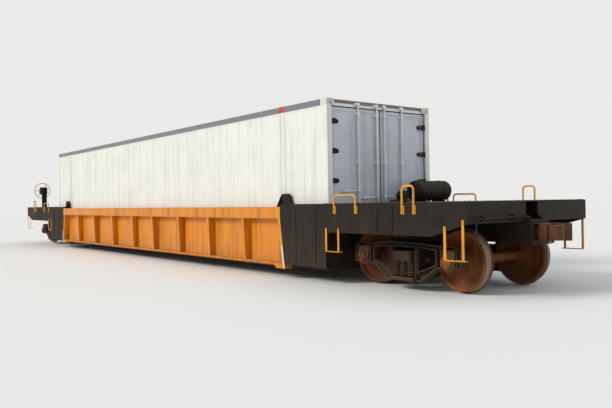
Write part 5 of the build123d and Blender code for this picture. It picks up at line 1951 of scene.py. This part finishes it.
@dataclass
class Container:
    """The container's sheet seams and rivets, post ribs, roof bows, front ribs and castings.

    Attributes:
        panel_y: how far out the side panel's face is.
        rail_y: how far out the rails' face is.
        low_z: the top of the bottom rail.
        high_z: the bottom of the top rail.
        sheet: from one side seam to the next.
        seam_ends: the seams beyond the lifting posts.
        post_ends: the inner posts beyond them.
        seam_w: a seam strip's width.
        seam_t: how far it stands proud.
        rivet_pitch: from one rivet to the next.
        rail_pitch: the same along the rails.
        roof_sheet: from one roof seam to the next.
        front_x: where the closed end's face is.
        front_pitch: from one of its ribs to the next.
    """

    shop: Paintshop
    panel_y: float = 1.2885
    rail_y: float = 1.2955
    low_z: float = 0.450
    high_z: float = 3.046
    sheet: float = 1.1985
    seam_ends: tuple[float, ...] = (-6.62, 6.62)
    post_ends: tuple[float, ...] = (-6.90, -6.34, 6.34, 6.90)
    seam_w: float = 0.052
    seam_t: float = 0.0028
    rivet_pitch: float = 0.118
    rail_pitch: float = 0.152
    roof_sheet: float = 0.5993
    front_x: float = -7.269
    front_pitch: float = 0.34

    def column(self, x: float, y: float, radius: float, height: float) -> Piece:
        """A column of rivets from the bottom rail to the top one.

        Args:
            x: where it is along the car.
            y: how far out it is.
            radius: a rivet head's radius.
            height: its height.

        Returns:
            The column.
        """
        count = int((self.high_z - self.low_z - 0.06) / self.rivet_pitch)
        foot = (x, y, self.low_z + 0.045)
        return Bench.row(Bench.rivet(radius, height), foot, Axis.Y, count, (0, 0, self.rivet_pitch))

    def side_seams(self) -> None:
        """Strips over the joints between side sheets, each with two columns of rivets."""
        half, face = self.seam_w / 2, self.panel_y + self.seam_t
        pieces = [
            Bench.slab("seam", (-half, self.panel_y - 0.002, self.low_z), (half, face, self.high_z), 0.0012, 1),
            *(self.column(x, face, 0.0055, 0.0032) for x in (-0.015, 0.015)),
        ]
        places = [side @ at(x, 0, 0) for side in SIDES for x in (*self.seam_places(), *self.seam_ends)]
        seams = Bench.spread("side_seams", Bench.join("seam", pieces), places)
        self.shop.coat(seams, "container", Slot.CONTAINER_WHITE)

    def seam_places(self) -> list[float]:
        """Where the side seams between the lifting posts are."""
        return [(i - 4) * self.sheet for i in range(9)]

    def post_rivets(self) -> None:
        """Single columns of rivets where the posts inside stand behind each side sheet."""
        shares = (self.sheet / 3, self.sheet * 2 / 3)
        xs = [x + share for x in self.seam_places()[:-1] for share in shares] + [*self.post_ends]
        places = [side @ at(x, 0, 0) for side in SIDES for x in xs]
        columns = Bench.spread("post_rivets", self.column(0, self.panel_y, 0.005, 0.003), places)
        self.shop.coat(columns, "container", Slot.CONTAINER_WHITE)

    def rail_rivets(self) -> None:
        """Rivets along the top and bottom rails."""
        low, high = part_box("container_side_left")
        count = int((high.x - low.x - 0.30) / self.rail_pitch)
        start = -(count - 1) * self.rail_pitch / 2
        rows = [
            Bench.row(Bench.rivet(0.0065, 0.004), (start, self.rail_y, z), Axis.Y, count, (self.rail_pitch, 0, 0))
            for z in (self.low_z - 0.022, self.high_z + 0.022)
        ]
        both = Bench.spread("rail_rivets", Bench.join("rows", rows), SIDES)
        self.shop.coat(both, "container", Slot.CONTAINER_WHITE)

    def posts(self) -> None:
        """Pressed ribs down the lifting posts."""
        post_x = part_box("lifting_castings")[1].x - 0.089
        y, low_z, high_z = self.rail_y, self.low_z + 0.020, self.high_z - 0.020
        ribs = [
            Bench.slab("rib", (x - 0.012, y - 0.002, low_z), (x + 0.012, y + 0.004, high_z), 0.002, 1)
            for x in (post_x - 0.058, post_x + 0.058)
        ]
        places = [side @ end for side in SIDES for end in ENDS.values()]
        ribs = Bench.spread("post_ribs", Bench.join("ribs", ribs), places)
        self.shop.coat(ribs, "container", Slot.CASTING_WHITE)

    def roof(self) -> None:
        """Seams where roof sheets lap over the bows."""
        low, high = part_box("container_roof")
        count = int((high.x - low.x) / self.roof_sheet) - 1
        x = -(count - 1) * self.roof_sheet / 2
        strip = Bench.slab(
            "bow", (x - 0.022, low.y + 0.012, high.z - 0.002), (x + 0.022, high.y - 0.012, high.z + 0.003), 0.0015, 1,
        )
        seams = Bench.join("roof_seams", [Bench.repeat(strip, count, (self.roof_sheet, 0, 0))])
        self.shop.coat(seams, "container", Slot.CONTAINER_WHITE, trim=Trim.ROOFING)

    def front(self) -> None:
        """Upright stiffeners let into the closed end."""
        rib = Bench.shaped(
            "rib", (self.front_x - 0.034, -0.045, 0.470), (self.front_x + 0.002, 0.045, 3.040), facing(Axis.X, -1),
            0.005, scale=(1, 0.6, 1),
        )
        ribs = Bench.spread("front_ribs", rib, [at(0, (i - 3) * self.front_pitch, 0) for i in range(7)])
        self.shop.coat(ribs, "container", Slot.CONTAINER_WHITE)

    def castings(self) -> None:
        """Rounds the lifting and corner castings."""
        for node, slot in (("lifting_castings", Slot.LIFTING_ORANGE), ("corner_castings", Slot.CASTING_WHITE)):
            self.shop.recast(f"rounded_{node}", node, 0.005, "container", slot)

    def build(self) -> None:
        """Dresses the container."""
        self.side_seams()
        self.post_rivets()
        self.rail_rivets()
        self.posts()
        self.roof()
        self.front()
        self.castings()


@dataclass
class Doors:
    """Seals, hinges, and locking rods with their guides, cams and handles.

    Attributes:
        face_x: the doors' face.
        edge_y: how far out the doors' outer edge is.
        low_z: the doors' lower edge.
        high_z: their upper edge.
        seal_w: a seal's width.
        hinge_count: how many hinges a door has.
        hinge_y: how far out their pins are.
        rod_x: where the rods stand.
        rod_r: a rod's radius.
        rod_y: how far each rod is from the middle.
        rod_low: where the rods start.
        rod_high: where they end.
        guide_z: the heights of a rod's guides.
        handle_z: the height of each rod's handle.
    """

    shop: Paintshop
    face_x: float = 7.269
    edge_y: float = 1.1855
    low_z: float = 0.456
    high_z: float = 3.052
    seal_w: float = 0.020
    hinge_count: int = 5
    hinge_y: float = 1.186
    rod_x: float = 7.292
    rod_r: float = 0.0165
    rod_y: tuple[float, ...] = (0.099, 0.5555)
    rod_low: float = 0.343
    rod_high: float = 3.149
    guide_z: tuple[float, ...] = (0.539, 1.269, 2.083, 2.953)
    handle_z: tuple[float, ...] = (1.470, 1.590)

    def seals(self) -> None:
        """Dark rubber seals round both doors."""
        x0, x1, half = self.face_x - 0.008, self.face_x + 0.004, self.seal_w / 2
        uprights = ((0.0, half), (self.edge_y - half, self.edge_y + 0.004))
        spans = [(y0, y1, self.low_z - 0.004, self.high_z + 0.004) for y0, y1 in uprights]
        spans += [(0.0, self.edge_y, z - half, z + half) for z in (self.low_z, self.high_z)]
        pieces = [Bench.slab("seal", (x0, y0, z0), (x1, y1, z1), 0.003) for y0, y1, z0, z1 in spans]
        seals = Bench.spread("door_seals", Bench.join("seals", pieces), SIDES)
        self.shop.coat(seals, "container", Slot.DOOR_GREY, trim=Trim.RUBBER)

    def hinges(self) -> None:
        """A pin, four bolts, a leaf on the frame and a strap on the door at each hinge."""
        x = self.face_x
        pitch = (self.high_z - self.low_z) / self.hinge_count
        heights = [self.low_z + (i + 0.5) * pitch for i in range(self.hinge_count)]
        half = ((0.010, 0.052), (0.015, 0.048), (0.015, 0.038), (0.012, 0.036))
        rings = [(r, -z) for r, z in half] + [(r, z) for r, z in reversed(half)]
        seats = [at(x + 0.028, self.hinge_y, z) for z in heights]
        bolts = [turned((x + 0.028, i, j), Axis.X) for z in heights for i, j in corners(1.120, z, 0.020, 0.018)]
        pieces = [
            Bench.spread("pins", Bench.turn("pin", rings, 16), seats),
            Bench.spread("bolts", Bench.bolt(0.009, 0.008), bolts),
        ]
        pins = Bench.spread("hinge_pins", Bench.join("hinges", pieces), SIDES)
        self.shop.coat(pins, "container", Slot.END_BLACK)
        pieces = [
            Bench.slab("leaf", (x + 0.021, 1.071, -0.045), (x + 0.0295, 1.172, 0.045), 0.002, 1),
            Bench.shaped(
                "strap", (x - 0.014, 1.000, -0.044), (x - 0.0005, 1.100, 0.044), facing(Axis.Y, -1), 0.002, 1,
                scale=(1, 1, 0.7),
            ),
        ]
        places = [side @ at(0, 0, z) for side in SIDES for z in heights]
        leaves = Bench.spread("hinge_leaves", Bench.join("leaf", pieces), places)
        self.shop.coat(leaves, "container", Slot.END_BLACK)

    def guide(self, z: float) -> Piece:
        """One bracket that holds a rod to the door, with its bolts.

        Args:
            z: its height.

        Returns:
            The bracket, for a rod in the middle.
        """
        x = self.face_x
        bolts = [turned((x + 0.006, i, j), Axis.X) for i, j in corners(0, z, 0.048, 0.014)]
        return Bench.join("guide", [
            Bench.slab("plate", (x - 0.011, -0.062, z - 0.030), (x + 0.006, 0.062, z + 0.030), 0.003),
            Bench.shaped(
                "clip", (x, -0.029, z - 0.024), (self.rod_x + 0.020, 0.029, z + 0.024), facing(Axis.X), 0.006,
                scale=(1, 0.72, 1),
            ),
            Bench.spread("guide_bolts", Bench.bolt(0.0065, 0.006), bolts),
        ])

    def cam(self, z: float, up: int) -> Piece:
        """The hook at a rod's end with the keeper that it turns into.

        Args:
            z: the height of the rod's end.
            up: 1 at the top, -1 at the bottom.

        Returns:
            The cam, for a rod in the middle.
        """
        seat_z = z - up * 0.004
        hook = Bench.shaped(
            "hook", (self.rod_x - 0.018, -0.034, z - 0.026), (self.rod_x + 0.020, 0.048, z + 0.026), facing(Axis.Y),
            0.006, scale=(0.6, 1, 0.5), centre=(self.rod_x, 0, z),
        )
        keeper = ((self.face_x - 0.001, -0.050, seat_z - 0.030), (self.face_x + 0.012, 0.072, seat_z + 0.030))
        return Bench.join("cam", [hook, Bench.slab("keeper", *keeper, 0.004)])

    def handle(self, z: float) -> Piece:
        """The handle of a rod, swung flat and held in a retainer.

        Args:
            z: its height at the rod.

        Returns:
            The handle, for a rod in the middle, pointing outwards.
        """
        x = self.face_x + 0.030
        route = [(self.rod_x, 0.0, z), (self.rod_x, 0.060, z), (x, 0.110, z - 0.020), (x, 0.390, z - 0.020)]
        rings = ((0.018, z - 0.030), (0.026, z - 0.026), (0.026, z + 0.026), (0.018, z + 0.030))
        return Bench.join("handle", [
            Bench.rod("grip", route, 0.0105, 0.025, 10),
            Bench.spread("collar", Bench.turn("collar", rings, 16), [at(self.rod_x, 0, 0)]),
            Bench.shaped(
                "rest", (self.face_x - 0.012, 0.300, z - 0.052), (self.face_x + 0.044, 0.345, z + 0.006),
                facing(Axis.X), 0.004, scale=(1, 0.7, 0.6), centre=(self.face_x, 0.3225, z - 0.022),
            ),
        ])

    def rods(self) -> None:
        """Four round rods with guides, cams and handles, in place of the plain ones."""
        low, high = self.rod_low, self.rod_high
        rings = ((0.012, low), (self.rod_r, low + 0.003), (self.rod_r, high - 0.003), (0.012, high))
        rod = Bench.join("rod", [
            Bench.spread("bar", Bench.turn("bar", rings, 20), [at(self.rod_x, 0, 0)]),
            *(self.guide(z) for z in self.guide_z),
            self.cam(low + 0.032, -1),
            self.cam(high - 0.032, 1),
        ])
        pieces = [Bench.spread("rods", rod, [side @ at(0, y, 0) for side in SIDES for y in self.rod_y])]
        for y, z in zip(self.rod_y, self.handle_z):
            pieces.append(Bench.spread("handles", self.handle(z), [side @ at(0, y, 0) for side in SIDES]))
        hardware = Bench.join("round_lock_rods", pieces)
        self.shop.coat(hardware, "container", Slot.ROD_GALVANISED, "lock_rods")

    def build(self) -> None:
        """Dresses the doors."""
        self.seals()
        self.hinges()
        self.rods()


# Studio


@dataclass
class Studio:
    """The floor, the light and the camera.

    Attributes:
        eye: the photograph's viewing point.
        target: the point the camera looks at.
        lens: the focal length in millimetres.
        film: the picture's width in millimetres.
        roll: how far the camera leans, in degrees.
        floor_size: the floor's length and width.
        floor_colour: its colour.
        sky_light: the colour of the sky's light.
        sky_seen: its colour where it is seen.
        sky_strength: how strong its light is, beside 1 where it is seen.
    """

    eye: Point = (15.930, -8.499, 1.404)
    target: Point = (5.37, -0.27, 1.35)
    lens: float = 38.5
    film: float = 36.0
    roll: float = -1.0
    floor_size: float = 400.0
    floor_colour: Colour = (0.95, 0.945, 0.93)
    sky_light: Colour = (0.95, 0.97, 1.0)
    sky_seen: Colour = (0.92, 0.92, 0.915)
    sky_strength: float = 0.56

    def build(self) -> None:
        """Sets up the studio."""
        self.floor()
        self.world()
        self.lamp("key light", (-0.36, -0.85, 0.56), 2.05, 20.0, (1.0, 0.97, 0.92))
        self.lamp("fill light", (0.55, 0.70, 0.45), 0.55, 60.0, (0.94, 0.97, 1.0))
        self.camera()
        bpy.context.scene.view_settings.view_transform = "Standard"

    def floor(self) -> None:
        """A pale floor that shows as a plain background and keeps the shadow."""
        Bench.clear()
        bpy.ops.mesh.primitive_plane_add(size=self.floor_size)
        floor = Bench.settle("studio_floor")
        material = bpy.data.materials.new("pale floor")
        material.use_nodes = True
        shader = material.node_tree.nodes["Principled BSDF"]
        shader.inputs["Base Color"].default_value = linear(self.floor_colour)
        shader.inputs["Roughness"].default_value = 0.9
        shader.inputs["Specular IOR Level"].default_value = 0.1
        floor.data.materials.append(material)

    def world(self) -> None:
        """An even sky: white where it is seen, and dimmer where it lights."""
        world = bpy.data.worlds.new("studio sky")
        bpy.context.scene.world = world
        world.use_nodes = True
        sheet = Sheet(world.node_tree)
        back = world.node_tree.nodes["Background"]
        rays = sheet.place("ShaderNodeLightPath")
        seen = sheet.math("MAXIMUM", rays.outputs["Is Camera Ray"], rays.outputs["Is Glossy Ray"])
        seen = sheet.math("MAXIMUM", seen, rays.outputs["Is Transmission Ray"])
        sheet.feed(back.inputs["Color"], sheet.mix(seen, linear(self.sky_light), linear(self.sky_seen)))
        sheet.feed(back.inputs["Strength"], sheet.remap(seen, 0.0, 1.0, self.sky_strength, 1.0))

    def lamp(self, name: str, towards: Point, strength: float, softness: float, colour: Colour) -> None:
        """Adds a distant soft lamp.

        Args:
            name: the lamp's name.
            towards: the direction from the car to the lamp.
            strength: its strength.
            softness: how wide it looks from the car, in degrees.
            colour: its colour.
        """
        data = bpy.data.lights.new(name, "SUN")
        data.energy = strength
        data.angle = math.radians(softness)
        data.color = colour
        lamp = bpy.data.objects.new(name, data)
        lamp.rotation_euler = Vector(towards).to_track_quat("Z", "Y").to_euler()
        bpy.context.scene.collection.objects.link(lamp)

    def camera(self) -> None:
        """Puts the camera where the photograph was taken from."""
        data = bpy.data.cameras.new("camera")
        data.lens = self.lens
        data.sensor_width = self.film
        data.clip_end = 1000.0
        camera = bpy.data.objects.new("camera", data)
        camera.location = self.eye
        look = (Vector(self.target) - Vector(self.eye)).to_track_quat("-Z", "Y")
        camera.rotation_euler = (look.to_matrix() @ Matrix.Rotation(math.radians(self.roll), 3, "Z")).to_euler()
        bpy.context.scene.collection.objects.link(camera)
        bpy.context.scene.camera = camera


GROUPS = (
    Wheelsets, Trucks, Springs, WellSides, WellFloor, CarEnds, Grabs, AirGear, BrakeGear, Couplers, Container, Doors,
)


def main() -> None:
    """Builds the car's looks in order."""
    logging.basicConfig(level=logging.INFO, format="%(name)s: %(message)s")
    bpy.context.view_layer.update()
    Studio().build()
    shop = Paintshop()
    shop.open()
    shop.coat_nodes()
    for group in GROUPS:
        group(shop).build()


if __name__ == "__main__":
    main()
